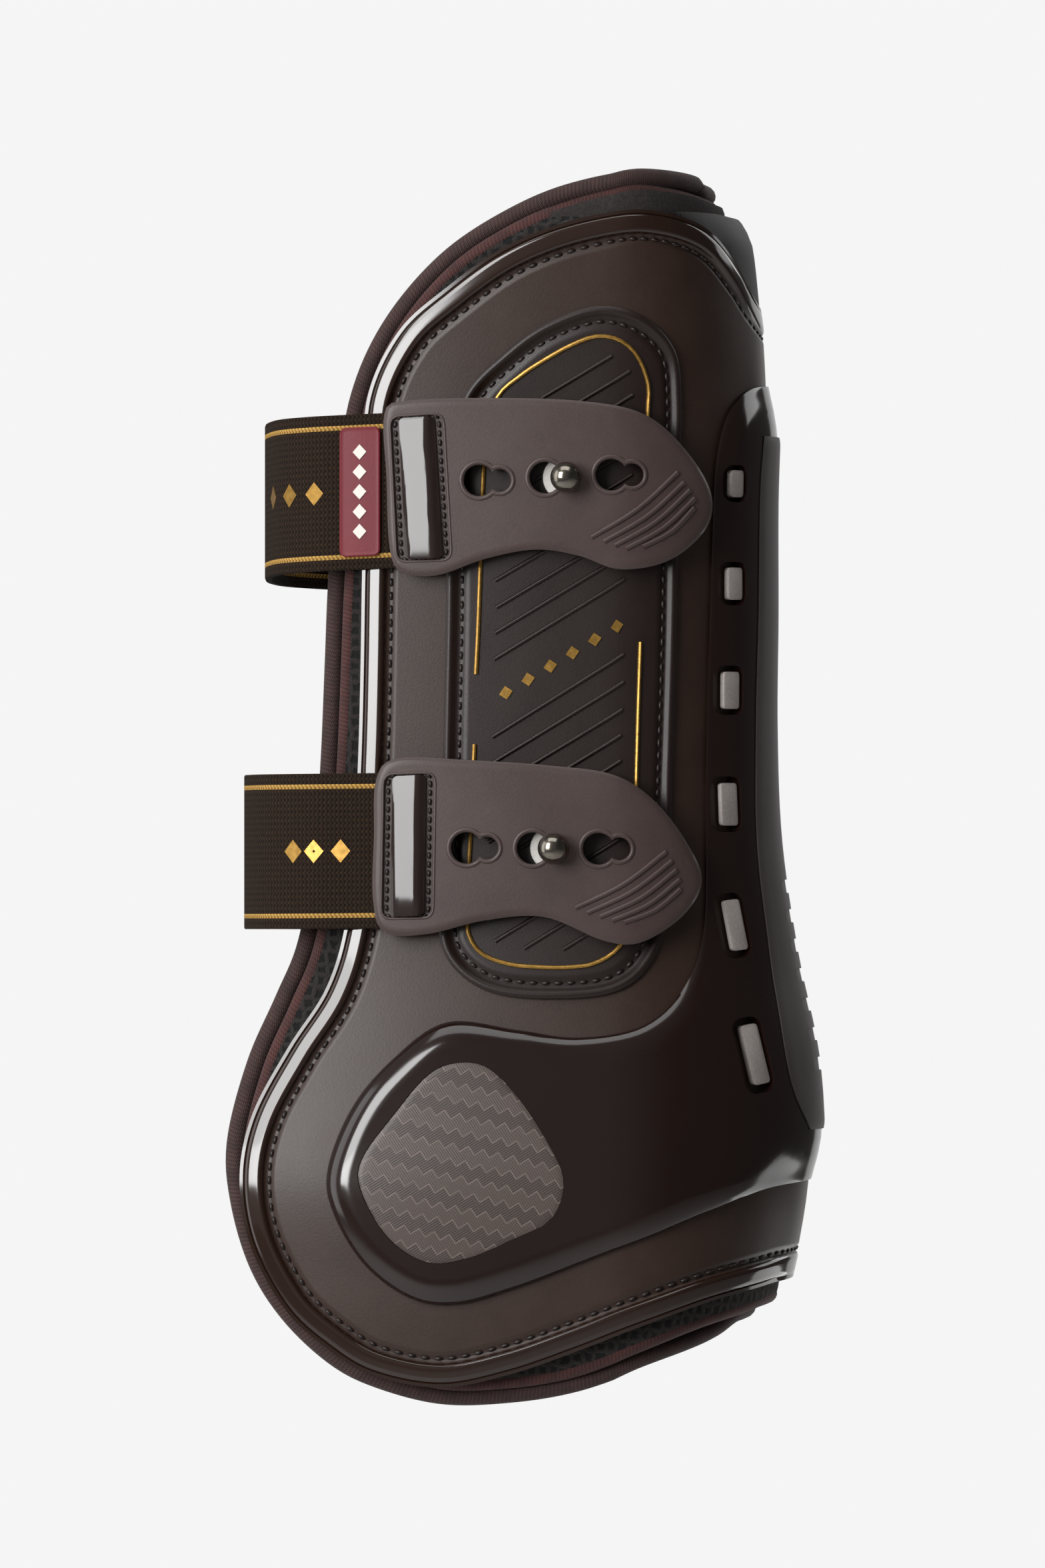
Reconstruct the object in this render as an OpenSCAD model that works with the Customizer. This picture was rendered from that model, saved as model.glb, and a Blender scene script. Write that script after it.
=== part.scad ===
/* [Fit] */
// half width of the shell at the cannon
half_w = 38; // [34:0.5:42]
// half width of the shell at the fetlock
fetlock_w = 46; // [42:0.5:50]
// depth of the shell behind the leg axis
back_x = 42; // [40:0.5:46]
// how far the front edges turn in towards the leg
wing_in = 5.3; // [3:0.1:8]

// how far the guard swells over the fetlock
dome_lift = 2.4; // [0:0.1:4]

/* [Layers] */
// moulded shell thickness
shell_t = 2.4; // [1.8:0.1:3]
// raised tendon guard thickness
guard_t = 2.2; // [1.6:0.1:3]
// open spacer mesh thickness
mesh_t = 2.2; // [1.5:0.1:3]
// impact foam thickness
foam_t = 3.8; // [3:0.1:6]
// inner lining thickness
lining_t = 1.4; // [1:0.1:2]
// glue line between layers
gap = 0.5; // [0.3:0.05:0.7]

/* [Binding] */
// radius of the roll round the lining
roll_r = 2.1; // [1.5:0.1:2.6]
// radius of the roll round the spacer mesh
bead_r = 1.6; // [1.2:0.1:2]

/* [Straps] */
// elastic width
strap_w = 34.4; // [30:0.2:40]
// elastic thickness
strap_t = 1.5; // [1.2:0.1:2.5]
// height of the upper strap
upper_z = 203; // [195:1:210]
// height of the lower strap
lower_z = 122.9; // [115:1:130]
// how far the upper strap's loop stands in front of the leg axis
upper_front = 69; // [64:0.2:76]
// how far the lower strap's loop stands in front of the leg axis
lower_front = 73.6; // [66:0.2:78]

/* [Tabs] */
// tab thickness
tab_t = 2.2; // [1.8:0.1:3]
// large end of a keyhole, radius
key_r = 3.5; // [3.2:0.05:3.8]
// small end of a keyhole, radius
slot_r = 2.5; // [2.2:0.05:2.8]
// distance between the two ends of a keyhole
key_step = 4.5; // [4:0.1:5]

/* [Studs] */
// ball radius
ball_r = 3.4; // [3:0.05:3.45]
// neck radius
neck_r = 1.75; // [1.4:0.05:1.85]
// flange radius
flange_r = 5; // [4:0.1:6]

/* [Hidden] */
$fn = 48;
x0 = 8;
Q = 60;
cq = x0 + Q;
panel_d = 0.3;
panel_t = 0.8;
strap_d = panel_d + panel_t + gap;
tab_d = strap_d + strap_t + gap;
ball_d = tab_d + tab_t + 3.5;
hinge_q = -50;
hinge_d = strap_d + strap_t / 2;

// smooth curve through evenly numbered points
function cr(a, b, c, d, t) =
    0.5 * (2*b + (c - a)*t + (2*a - 5*b + 4*c - d)*t*t + (3*b - a - 3*c + d)*t*t*t);
function spl(L, t) =
    let (n = len(L) - 1, k = max(0, min(floor(t*n), n - 1)), f = t*n - k)
    cr(L[max(k-1, 0)], L[k], L[k+1], L[min(k+2, n)], f);
// n points of a smooth closed curve through W
function closed(W, n) =
    let (m = len(W), C = concat([W[m-1]], W, [W[0], W[1]]))
    [for (i = [0:n-1]) let (t = i*m/n, k = floor(t)) cr(C[k], C[k+1], C[k+2], C[k+3], t - k)];
function mix(a, b, t) = a + (b - a)*t;
function unit(v) = v / max(norm(v), 1e-6);

// half width and back of the shell's outer face, every 25 mm up
wide = [fetlock_w-2.4, fetlock_w-0.7, fetlock_w, fetlock_w-3.7, half_w+0.4, half_w,
    half_w, half_w, half_w, half_w+0.3, half_w+1.6, half_w+3.5];
back = [back_x+2.5, back_x+6.3, back_x+10.3, back_x+9.6, back_x+4.6, back_x+1,
    back_x, back_x+0.2, back_x+0.2, back_x+0.7, back_x-1.1, back_x-4];
function B(z) = spl(wide, z/275);
function Xb(z) = spl(back, z/275);

// a point of the wrapped surface: q runs back along the near side, round the back
// and forward along the far side, d is the distance outside the shell's face
function side_at(s, d, b) =
    let (u = (x0 - s)/56, n = unit([-2*wing_in*u/56, -1]))
    [s + d*n[0], -b + wing_in*u*u + d*n[1]];
function bend_at(s, d, a, b) =
    let (t = 90*(s - x0)/Q, n = unit([sin(t)/a, -cos(t)/b]))
    [x0 + a*sin(t) + d*n[0], -b*cos(t) + d*n[1]];
function wrap(q, z, d) =
    let (m = q > cq, s = m ? 2*cq - q : q)
    let (p = s <= x0 ? side_at(s, d, B(z)) : bend_at(s, d, Xb(z) - x0, B(z)))
    [p[0], m ? -p[1] : p[1], z];
// q of the point that lies at x on the near side
function qof(x, z, d) = x <= x0
    ? let (g = -2*wing_in*(x0 - x)/3136) x - d*g/sqrt(1 + g*g)
    : x0 + Q*asin(min(1, (x - x0)/(Xb(z) + d - x0)))/90;

// outlines on the near side as seen from the side, from the bottom centre back,
// round the front, to the top centre back
// a point with a third number is already measured along the wrap
function flat(W, d) = [for (p = W) len(p) > 2 ? [p[0], p[1]] : [qof(p[0], p[1], d), p[1]]];
// an outline drawn in by r
function inset(F, r) =
    let (n = len(F) - 1)
    [for (i = [0:n]) let (t = unit(F[min(i+1, n)] - F[max(i-1, 0)]))
        i == 0 ? F[i] + [0, r] : i == n ? F[i] - [0, r] : F[i] + r*[t[1], -t[0]]];
function part_of(F, a, b) = [for (i = [a:b]) F[i]];
function turned(F) = [for (i = [len(F)-1:-1:0]) F[i]];

// a point inside the outline F, whose front edge runs from point i0 to point i1
// and meets the centre back at heights zc
function cell(F, i0, i1, zc, a, b) =
    let (n = len(F) - 1, k = len(zc) - 1, e = 1 - (1-a)*(1-a))
    let (l = spl(part_of(F, i0, i1), b), l0 = F[i0], l1 = F[i1], c = spl(zc, b))
    let (low = spl(turned(part_of(F, 0, i0)), a) - [mix(l0[0], cq, a), mix(l0[1], zc[0], e)])
    let (high = spl(part_of(F, i1, n), a) - [mix(l1[0], cq, a), mix(l1[1], zc[k], e)])
    [mix(l[0], cq, a), mix(l[1], c, e)] + (1-b)*(1-b)*low + b*b*high;
function heights(F, i0, i1) =
    let (a = F[0][1], b = F[len(F)-1][1], c = F[i0][1], d = F[i1][1])
    [for (i = [i0:i1]) a + (b - a)*(F[i][1] - c)/(d - c)];
function far(p) = [2*cq - p[0], p[1]];
// the same over the whole width: column i of 2*na + 1, row j of nb + 1
function cell_of(F, i0, i1, zc, i, j, na, nb) = i <= na
    ? cell(F, i0, i1, zc, i/na, j/nb)
    : far(cell(F, i0, i1, zc, (2*na - i)/na, j/nb));
// the swell over the fetlock
function bump(p, lift) =
    let (q = min(p[0], 2*cq - p[0]), u = (q + 24)/27, v = (p[1] - 54)/27, r = u*u + v*v)
    r > 1 ? 0 : lift*(1 - r)*(1 - r);

function flipped(faces) = [for (f = faces) [f[2], f[1], f[0]]];
function quad(a, b, c, d) = [[a, b, c], [a, c, d]];

// closed sheet over a full wrapped outline; rings are [inset, outer d], the last ring is the grid's own edge
module sheet(W, i0, i1, rings, d_in, na, nb, zcs = [], lift = 0) {
    F = flat(W, (rings[0][1] + d_in)/2);
    last = rings[len(rings)-1];
    G = inset(F, last[0]);
    zg = len(zcs) ? zcs : heights(G, i0, i1);
    nc = 2*na + 1;
    grid = [for (j = [0:nb]) for (i = [0:2*na]) cell_of(G, i0, i1, zg, i, j, na, nb)];
    edge = concat(
        [for (i = [0:2*na]) [i, 0]],
        [for (j = [1:nb]) [2*na, j]],
        [for (i = [2*na-1:-1:0]) [i, nb]],
        [for (j = [nb-1:-1:1]) [0, j]]);
    m = len(edge);
    ringpts = [for (k = [0:1:len(rings)-2])
        let (R = inset(F, rings[k][0]), zr = len(zcs) ? zcs : heights(R, i0, i1))
        for (e = edge) cell_of(R, i0, i1, zr, e[0], e[1], na, nb)];
    ng = len(grid);
    nr = len(rings) - 1;
    outer = [for (p = grid) wrap(p[0], p[1], last[1] + bump(p, lift))];
    ringo = [for (k = [0:1:nr-1]) for (i = [0:m-1]) let (p = ringpts[k*m + i]) wrap(p[0], p[1], rings[k][1])];
    inner = [for (p = grid) wrap(p[0], p[1], d_in)];
    ringi = nr > 0 ? [for (i = [0:m-1]) wrap(ringpts[i][0], ringpts[i][1], d_in)] : [];
    oi = ng + nr*m;
    function on_grid(i) = edge[i % m][1]*nc + edge[i % m][0];
    function at(k, i) = k == nr ? on_grid(i) : ng + k*m + i % m;
    function ati(i) = nr > 0 ? oi + ng + i % m : oi + on_grid(i);
    function ine(i) = oi + on_grid(i);
    faces = concat(
        [for (j = [0:nb-1]) for (i = [0:2*na-1]) let (a = j*nc + i) each quad(a, a+1, a+nc+1, a+nc)],
        [for (j = [0:nb-1]) for (i = [0:2*na-1]) let (a = oi + j*nc + i) each quad(a+nc, a+nc+1, a+1, a)],
        [for (k = [0:1:nr-1]) for (i = [0:m-1]) each quad(at(k, i), at(k, i+1), at(k+1, i+1), at(k+1, i))],
        nr > 0 ? [for (i = [0:m-1]) each quad(ine(i+1), ati(i+1), ati(i), ine(i))] : [],
        [for (i = [0:m-1]) each quad(ati(i), ati(i+1), at(0, i+1), at(0, i))]);
    polyhedron(points = concat(outer, ringo, inner, ringi), faces = flipped(faces), convexity = 8);
}

// closed tube of radius r along a closed list of [q, z, d]
module roll(path, r, n = 8) {
    m = len(path);
    c = [for (p = path) wrap(p[0], p[1], p[2])];
    out = [for (p = path) unit(wrap(p[0], p[1], p[2] + 1) - wrap(p[0], p[1], p[2]))];
    pts = [for (i = [0:m-1])
        let (t = unit(c[(i+1) % m] - c[(i+m-1) % m]), u = unit(out[i] - (out[i]*t)*t), v = cross(t, u))
        for (k = [0:n-1]) c[i] + r*cos(360*k/n)*u + r*sin(360*k/n)*v];
    faces = [for (i = [0:m-1]) for (k = [0:n-1])
        let (a = i*n, b = ((i+1) % m)*n, l = (k+1) % n) each quad(a + k, a + l, b + l, b + k)];
    polyhedron(points = pts, faces = faces, convexity = 8);
}
// the whole rim of an outline, near and far, as a closed list of [q, z]
function loop(F, n) =
    let (h = [for (i = [0:n]) spl(F, i/n)])
    concat(h, [for (i = [n-1:-1:1]) far(h[i])]);

// patch on one side bounded by an outline of [x, z], from d0 to d1, drawn as rings about its middle
module patch(W, mid, d0, d1, n, rings, farside = false, lift = 0) {
    rim = closed(W, n);
    function on_side(p, d) =
        let (w = wrap(qof(p[0], p[1], d), p[1], d))
        farside ? [w[0], -w[1], w[2]] : w;
    function lay(d) = concat(
        [for (k = [1:rings]) for (p = rim) let (g = mid + (p - mid)*k/rings) on_side(g, d + bump(g, lift))],
        [on_side(mid, d + bump(mid, lift))]);
    o = n*rings + 1;
    last = (rings-1)*n;
    faces = concat(
        [for (i = [0:n-1]) [o-1, (i+1) % n, i]],
        [for (k = [0:1:rings-2]) for (i = [0:n-1])
            let (a = k*n + i, b = k*n + (i+1) % n) each quad(a, b, b+n, a+n)],
        [for (i = [0:n-1]) [o + i, o + (i+1) % n, o + o - 1]],
        [for (k = [0:1:rings-2]) for (i = [0:n-1])
            let (a = o + k*n + i, b = o + k*n + (i+1) % n) each quad(a+n, b+n, b, a)],
        [for (i = [0:n-1]) let (a = last + i, b = last + (i+1) % n) each quad(a, b, b+o, a+o)]);
    polyhedron(points = concat(lay(d1), lay(d0)), faces = farside ? flipped(faces) : faces, convexity = 6);
}

shell_line = [
    [68, 27.4, 1], [54, 26.9, 1], [42, 26.2], [30, 23.2], [15, 18], [0, 12.2], [-15, 7],
    [-30, 4.1], [-45, 6.8], [-55, 12.6], [-64.3, 21.1], [-72, 35.2], [-74.5, 50], [-71.8, 64.1],
    [-63.8, 79.1], [-55.5, 92], [-51.2, 106], [-49.2, 125], [-48.2, 145], [-47.7, 165],
    [-47.4, 184], [-46.9, 204], [-46.3, 222.8], [-39.5, 237.5], [-29.3, 246.9], [-15.8, 256.3],
    [0, 262.3], [15, 264.5], [28.3, 260.9], [36, 252.2], [53, 247.6, 1], [60, 244.6, 1],
    [68, 243.4, 1]];
liner_line = [
    [68, 20.2, 1], [59, 20, 1], [50, 19.2, 1], [29.3, 15.9], [14.3, 10.3], [-0.5, 4.8],
    [-15.2, 2.4], [-30, 2.1], [-44.2, 5.7], [-53.7, 10.6], [-63.5, 19.8], [-70.5, 30.9],
    [-74.7, 45.2], [-75.4, 58.2], [-71, 75.4], [-64.8, 89.6], [-59.8, 102], [-56.2, 121.7],
    [-54.7, 142], [-53.8, 163], [-52.9, 184], [-51, 204], [-48.1, 223.3], [-40.9, 239.3],
    [-28.8, 253.5], [-14.2, 263.2], [0.5, 269.1], [14, 271.9], [26, 271], [50, 269.8, 1],
    [59, 269.3, 1], [68, 269.2, 1]];
guard_line = [
    [68, 49.3, 1], [45, 48], [30, 43], [15, 37.1], [0, 31.5], [-13, 26.5], [-26.2, 22.7],
    [-36.5, 23.7], [-46.9, 31], [-53.9, 42.3], [-55.4, 52], [-50.2, 65.5], [-41.3, 76.3],
    [-29, 84.8], [-13, 83.1], [0, 81.5], [14.2, 83.8], [24.3, 92], [29.3, 104.7], [30, 125],
    [30.2, 150], [31, 175], [31.8, 200], [34.2, 217], [37.8, 223], [68, 226.6, 1]];
guard_back = [49, 52, 55, 59, 63, 67, 72, 77, 83, 93, 106, 125, 150, 175, 200, 226.4];
collar_line = [
    [68, 244.4, 1], [60, 245.7, 1], [53, 248.8, 1], [36.6, 253.2], [28.8, 261.9], [24.6, 263.9],
    [24.2, 264.5], [33.2, 264.3], [54, 263.8, 1], [68, 263.6, 1]];
pad_line = [
    [-47.4, 48], [-47, 55], [-40, 64.7], [-33, 73], [-27, 75.9], [-20, 75.2], [-13.5, 69.2],
    [-7.2, 60], [-2.8, 50.3], [-5.4, 41.7], [-14, 37], [-24, 32.8], [-33, 31.9], [-41.5, 37.5]];
panel_line = [
    [5, 243.2], [-7, 239.2], [-16, 232.8], [-24.4, 224.2], [-27.8, 212], [-28.6, 195],
    [-28.8, 175], [-29.2, 155], [-29.6, 135], [-30.2, 115], [-29.4, 100.5], [-20.4, 92], [-5, 90],
    [10.6, 92.4], [19, 103.5], [20.5, 122], [21, 142], [21.6, 162], [22.1, 185], [22.6, 208],
    [23, 222], [21.6, 233.4], [15, 240.6]];
trim_line = [
    [4.7, 236.3], [-6.6, 231.5], [-17.4, 222.9], [-20.5, 205], [-21.2, 184], [-22.1, 160],
    [-23, 135], [-23.9, 112], [-20.4, 99.7], [-7.7, 97], [7.4, 99.7], [12.6, 113], [13, 137],
    [14, 168.9], [15.2, 200], [15.5, 226]];
upper_tab_line = [
    [-42.5, 219.3], [-42, 205], [-41.4, 190.6], [-39.1, 184.6], [-31, 183.6], [-20, 187.3],
    [-9, 189.3], [0.6, 187.9], [9.7, 184.9], [20.5, 187], [28.6, 194.2], [29.5, 202.3],
    [23.2, 212.3], [14.2, 219.5], [0, 222.2], [-21, 222.8], [-38, 222.2]];
lower_tab_line = [
    [-44.3, 138.5], [-39.6, 143.2], [-24, 142.8], [-6, 141.6], [8, 139.6], [17, 133.9],
    [24.3, 124.4], [27.6, 116], [23.4, 108.4], [14.2, 102.5], [6, 102.9], [-7, 108.1],
    [-20, 107.4], [-33.2, 104.3], [-42.5, 104.7], [-45, 112], [-44.8, 126]];

shell_rings = [[0, 0], [1.1, 0.1], [1.5, 0.9], [4.6, 0.9], [5.4, 0]];
module outer_shell() color("#43382f") sheet(shell_line, 10, 22, shell_rings, -shell_t, 15, 20);

guard_rings = [[0, gap + 0.3], [1.6, gap + guard_t]];
module tendon_guard() color("#1e1614")
    sheet(guard_line, 8, 23, guard_rings, gap, 15, 27, guard_back, dome_lift);

// satin strip down the middle of the back, from the arch to the heel
spine_z = [60.5, 68, 77, 91, 105, 118, 130, 143, 158, 176, 194, 206, 215];
spine_w = [14, 19.7, 22, 21.8, 21.2, 21.2, 20.8, 20, 19.4, 18.7, 18.2, 17.7, 16.5];
module spine_strip() color("#4a4140") {
    d = gap + guard_t + gap;
    n = len(spine_z) - 1;
    k = 12;
    e = k + 1;
    o = (n + 1)*e;
    spots = [for (i = [0:n]) for (j = [0:k]) [2*j/k - 1, spine_w[i], spine_z[i]]];
    top = [for (p = spots) wrap(cq + p[0]*p[1], p[2], d + (abs(p[0]) > 0.9 ? 0.3 : 0.7))];
    bottom = [for (p = spots) wrap(cq + p[0]*p[1], p[2], d)];
    faces = concat(
        [for (i = [0:n-1]) for (j = [0:k-1]) let (a = i*e + j) each quad(a, a+1, a+e+1, a+e)],
        [for (i = [0:n-1]) for (j = [0:k-1]) let (a = o + i*e + j) each quad(a+e, a+e+1, a+1, a)],
        [for (i = [0:n-1]) let (a = i*e, b = (i+1)*e) each quad(a, b, o+b, o+a)],
        [for (i = [0:n-1]) let (a = i*e + k, b = (i+1)*e + k) each quad(o+b, b, a, o+a)],
        [for (j = [0:k-1]) each quad(j+1, j, o+j, o+j+1)],
        [for (j = [0:k-1]) let (a = n*e + j) each quad(o+a, a, a+1, o+a+1)]);
    polyhedron(points = concat(top, bottom), faces = flipped(faces), convexity = 6);
}

// the guard's slots: x, z, width, height, tilt
vents = [
    [35.8, 204.2, 6.8, 8, 0], [35.3, 182, 7.6, 9.4, 0], [34.4, 158.3, 8, 10.8, 0],
    [33.9, 133, 7.9, 12.2, 0], [35.4, 106.1, 7, 14.3, 6], [39.4, 77.4, 7, 16.9, 9]];
// one louvre lying on the guard's side
module louvre(v) {
    d = gap + guard_t;
    q = qof(v[0], v[1], d);
    p = wrap(q, v[1], d + 1.05);
    n = unit(wrap(q, v[1], d + 1) - wrap(q, v[1], d));
    translate(p) rotate([0, 0, atan2(n[1], n[0]) + 90]) rotate([90, v[4], 0])
        linear_extrude(0.9) hull() for (s = [-1, 1]) translate([0, s*(v[3] - v[2])/2]) circle(d = v[2]*1.1);
}
module near_vents() color("#6b6462") for (v = vents) louvre(v);
module far_vents() color("#6b6462") mirror([0, 1, 0]) for (v = vents) louvre(v);

pad_d = 2*gap + guard_t;
module pad(farside) patch(pad_line, [-25, 54], pad_d, pad_d + 1, 42, 7, farside, dome_lift);
module near_fetlock_pad() color("#2b2422") pad(false);
module far_fetlock_pad() color("#2b2422") pad(true);

module stud_panel() color("#3d322c") patch(panel_line, [-4, 165], panel_d, panel_d + panel_t, 56, 6);

module gold_trim() color("#c9a04e") {
    d = panel_d + panel_t + 0.75;
    roll([for (p = closed(trim_line, 64)) [qof(p[0], p[1], d), p[1], d]], 0.4, 4);
}

module top_collar() color("#3a3b3e")
    sheet(collar_line, 5, 6, [[0, 0.6]], -shell_t - 0.2, 12, 5, [244.4, 263.6]);

mesh_d = -shell_t - gap;
foam_d = mesh_d - mesh_t - gap;
lining_d = foam_d - foam_t - gap;
// the liner's layers share one outline, each drawn in by r from the binding
module liner(r, rings, d_in) {
    drawn = [for (p = inset(flat(liner_line, d_in), r)) [p[0], p[1], 1]];
    sheet(drawn, 10, 22, rings, d_in, 13, 15);
}
module spacer_mesh() color("#161414") liner(5.6, [[0, mesh_d]], mesh_d - mesh_t);
module impact_foam() color("#2a2626") liner(6.8, [[0, foam_d]], foam_d - foam_t);
module inner_lining() color("#1d1a1a") liner(3, [[0, lining_d]], lining_d - lining_t);
module lining_binding() color("#331c1c") {
    d = lining_d - lining_t + roll_r;
    roll([for (p = loop(flat(liner_line, lining_d), 50)) [p[0], p[1], d]], roll_r, 8);
}
module mesh_binding() color("#4a2426") {
    d = mesh_d - 1.7;
    roll([for (p = loop(inset(flat(liner_line, mesh_d), 3.2), 50)) [p[0], p[1], d]], bead_r, 8);
}

// ball stud riveted to the near side
module stud(x, z) {
    p = wrap(x, z, 0);
    translate([x, p[1], z]) rotate([90, 0, 0]) {
        translate([0, 0, panel_d + panel_t + 0.15]) cylinder(r = neck_r, h = ball_d - 2.2);
        translate([0, 0, ball_d]) sphere(r = ball_r);
        translate([0, 0, panel_d + panel_t + 0.15]) cylinder(r = neck_r + 0.9, h = 0.9);
    }
}
module washer(x, z) {
    p = wrap(x, z, 0);
    translate([x, p[1], z]) rotate([90, 0, 0]) translate([0, 0, panel_d + panel_t + 0.25]) difference() {
        cylinder(r = flange_r, h = 0.7);
        translate([0, 0, -1]) cylinder(r = neck_r + 1.2, h = 3);
    }
}
upper_ball = [-2.4, 205.2];
lower_ball = [-5.2, 123.3];
module upper_stud() color("#3c3b3d") stud(upper_ball[0], upper_ball[1]);
module lower_stud() color("#3c3b3d") stud(lower_ball[0], lower_ball[1]);
module upper_washer() color("#b9b6b2") washer(upper_ball[0], upper_ball[1]);
module lower_washer() color("#b9b6b2") washer(lower_ball[0], lower_ball[1]);

// plan of a strap's loop that reaches front, from the far hinge line round to the near side
hp = wrap(hinge_q, 160, hinge_d);
function loop_plan(front) = concat(
    [[hp[0], -hp[1]], [-0.4*front - 29.9, 32.4], [-0.8*front - 9.6, 25.2], [0.9 - front, 13]],
    [[0.15 - front, 0]],
    [[0.9 - front, -13], [-0.8*front - 9.6, -25.2], [-0.4*front - 29.9, -32.4], [hp[0], hp[1]]],
    [for (q = [-43, -35, -28]) let (w = wrap(q, 160, hinge_d)) [w[0], w[1]]]);
// band along a plan curve P between its fractions a and b, its middle rising from z0 to z1
module ribbon(P, z0, z1, w, t, n, a = 0, b = 1, out = 0) {
    at = [for (i = [0:n]) mix(a, b, i/n)];
    centre = [for (f = at) spl(P, f)];
    normal = [for (f = at) let (g = unit(spl(P, min(1, f + 0.004)) - spl(P, max(0, f - 0.004)))) [-g[1], g[0]]];
    pts = [for (i = [0:n]) for (k = [0:3])
        let (s = [1, 1, -1, -1][k], h = [-1, 1, 1, -1][k], p = centre[i] + normal[i]*(s*t/2 - out))
        [p[0], p[1], mix(z0, z1, at[i]) + h*w/2]];
    faces = concat(
        [[0, 1, 2], [0, 2, 3], [4*n+2, 4*n+1, 4*n], [4*n+3, 4*n+2, 4*n]],
        [for (i = [0:n-1]) for (k = [0:3]) let (p = 4*i + k, q = 4*i + (k+1) % 4) each quad(q, p, p+4, q+4)]);
    polyhedron(points = pts, faces = faces, convexity = 6);
}
module elastic(z, drop, front) {
    ribbon(loop_plan(front), z - drop, z, strap_w, strap_t, 44);
    translate([hp[0], -hp[1], z - drop - strap_w/2]) cylinder(r = strap_t/2 + 0.3, h = strap_w);
}
upper_drop = 4.5;
lower_drop = 1.2;
module upper_elastic() color("#2d2822") elastic(upper_z, upper_drop, upper_front);
module lower_elastic() color("#2d2822") elastic(lower_z, lower_drop, lower_front);
module upper_label() color("#a5303f")
    ribbon(loop_plan(upper_front), upper_z - upper_drop, upper_z, 28.6, 0.9, 8, 0.715, 0.805, strap_t/2 + 0.75);

// folded, sewn end of a strap on the far side
module anchor(z) {
    P = [for (q = [hinge_q + 1.7, -42, -34, -26, -19]) let (w = wrap(q, 160, 2.15)) [w[0], -w[1]]];
    ribbon(P, z, z, strap_w, 1.9, 8);
}
module upper_anchor() color("#2d2822") anchor(upper_z - upper_drop);
module lower_anchor() color("#2d2822") anchor(lower_z - lower_drop);

// band that follows the near side from xa to xb, about height h
module band(d0, d1, xa, xb, h) {
    n = 26;
    function on(i, d) = let (w = wrap(qof(mix(xa, xb, i/n), 160, d), 160, d)) [w[0], w[1]];
    plan = concat([for (i = [0:n]) on(i, d0)], [for (i = [n:-1:0]) on(i, d1)]);
    translate([0, 0, h - 40]) linear_extrude(80) polygon(plan);
}
// solid behind an outline as seen from the near side
module cut(outline) rotate([90, 0, 0]) linear_extrude(70) polygon(outline);
module keyhole(x, z) rotate([90, 0, 0]) {
    translate([x, z, 20]) cylinder(r = slot_r, h = 50);
    translate([x - key_step, z, 20]) cylinder(r = key_r, h = 50);
}
// tab cut to its outline, with a row of keyholes that rises by rise from one to the next
key_pitch = 14.6;
module tab(W, z, ball, rise) difference() {
    intersection() {
        band(tab_d, tab_d + tab_t, -47, 33, z);
        cut(closed(W, 68));
    }
    for (k = [-1:1]) keyhole(ball[0] + k*key_pitch, ball[1] + k*rise);
}
module upper_tab() color("#453b38") tab(upper_tab_line, upper_z, upper_ball, 0.6);
module lower_tab() color("#453b38") tab(lower_tab_line, lower_z, lower_ball, -0.1);
module inlay(W, z) intersection() {
    band(tab_d + tab_t + 0.1, tab_d + tab_t + 0.7, -47, -20, z);
    cut(W);
}
upper_window = [[-39.3, 218.4], [-31.4, 218.8], [-29.6, 187.4], [-37.8, 187.2]];
lower_window = [[-40.7, 139.2], [-33.2, 139.6], [-33.7, 108.4], [-41.2, 108.1]];
module upper_inlay() color("#241b1a") inlay(upper_window, upper_z);
module lower_inlay() color("#241b1a") inlay(lower_window, lower_z);

outer_shell();
tendon_guard();
spine_strip();
near_vents();
far_vents();
near_fetlock_pad();
far_fetlock_pad();
stud_panel();
gold_trim();
top_collar();
spacer_mesh();
impact_foam();
inner_lining();
mesh_binding();
lining_binding();
upper_stud();
lower_stud();
upper_washer();
lower_washer();
upper_anchor();
lower_anchor();
upper_elastic();
upper_label();
upper_tab();
upper_inlay();
lower_elastic();
lower_tab();
lower_inlay();
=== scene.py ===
import math

import bmesh
import bpy
from mathutils import Matrix, Vector


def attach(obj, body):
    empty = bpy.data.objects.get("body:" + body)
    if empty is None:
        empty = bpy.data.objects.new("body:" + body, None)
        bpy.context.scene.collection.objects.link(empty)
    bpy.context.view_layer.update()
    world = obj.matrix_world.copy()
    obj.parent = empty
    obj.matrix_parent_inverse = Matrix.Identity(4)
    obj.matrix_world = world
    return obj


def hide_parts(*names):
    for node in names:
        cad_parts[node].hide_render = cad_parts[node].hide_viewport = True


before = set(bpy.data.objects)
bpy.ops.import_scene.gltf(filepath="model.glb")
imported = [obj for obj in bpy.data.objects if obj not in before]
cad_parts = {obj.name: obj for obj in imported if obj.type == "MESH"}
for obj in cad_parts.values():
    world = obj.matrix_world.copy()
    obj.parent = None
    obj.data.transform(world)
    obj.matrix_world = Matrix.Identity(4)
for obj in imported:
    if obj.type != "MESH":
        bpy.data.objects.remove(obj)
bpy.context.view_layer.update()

# ---------------------------------------------------------------------------
# Inner lining
# Perforated neoprene sheet that lies against the leg, cut as one C-shaped
# pattern, curved round the back and glued to the foam.
# ---------------------------------------------------------------------------
mm = 0.001

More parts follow.
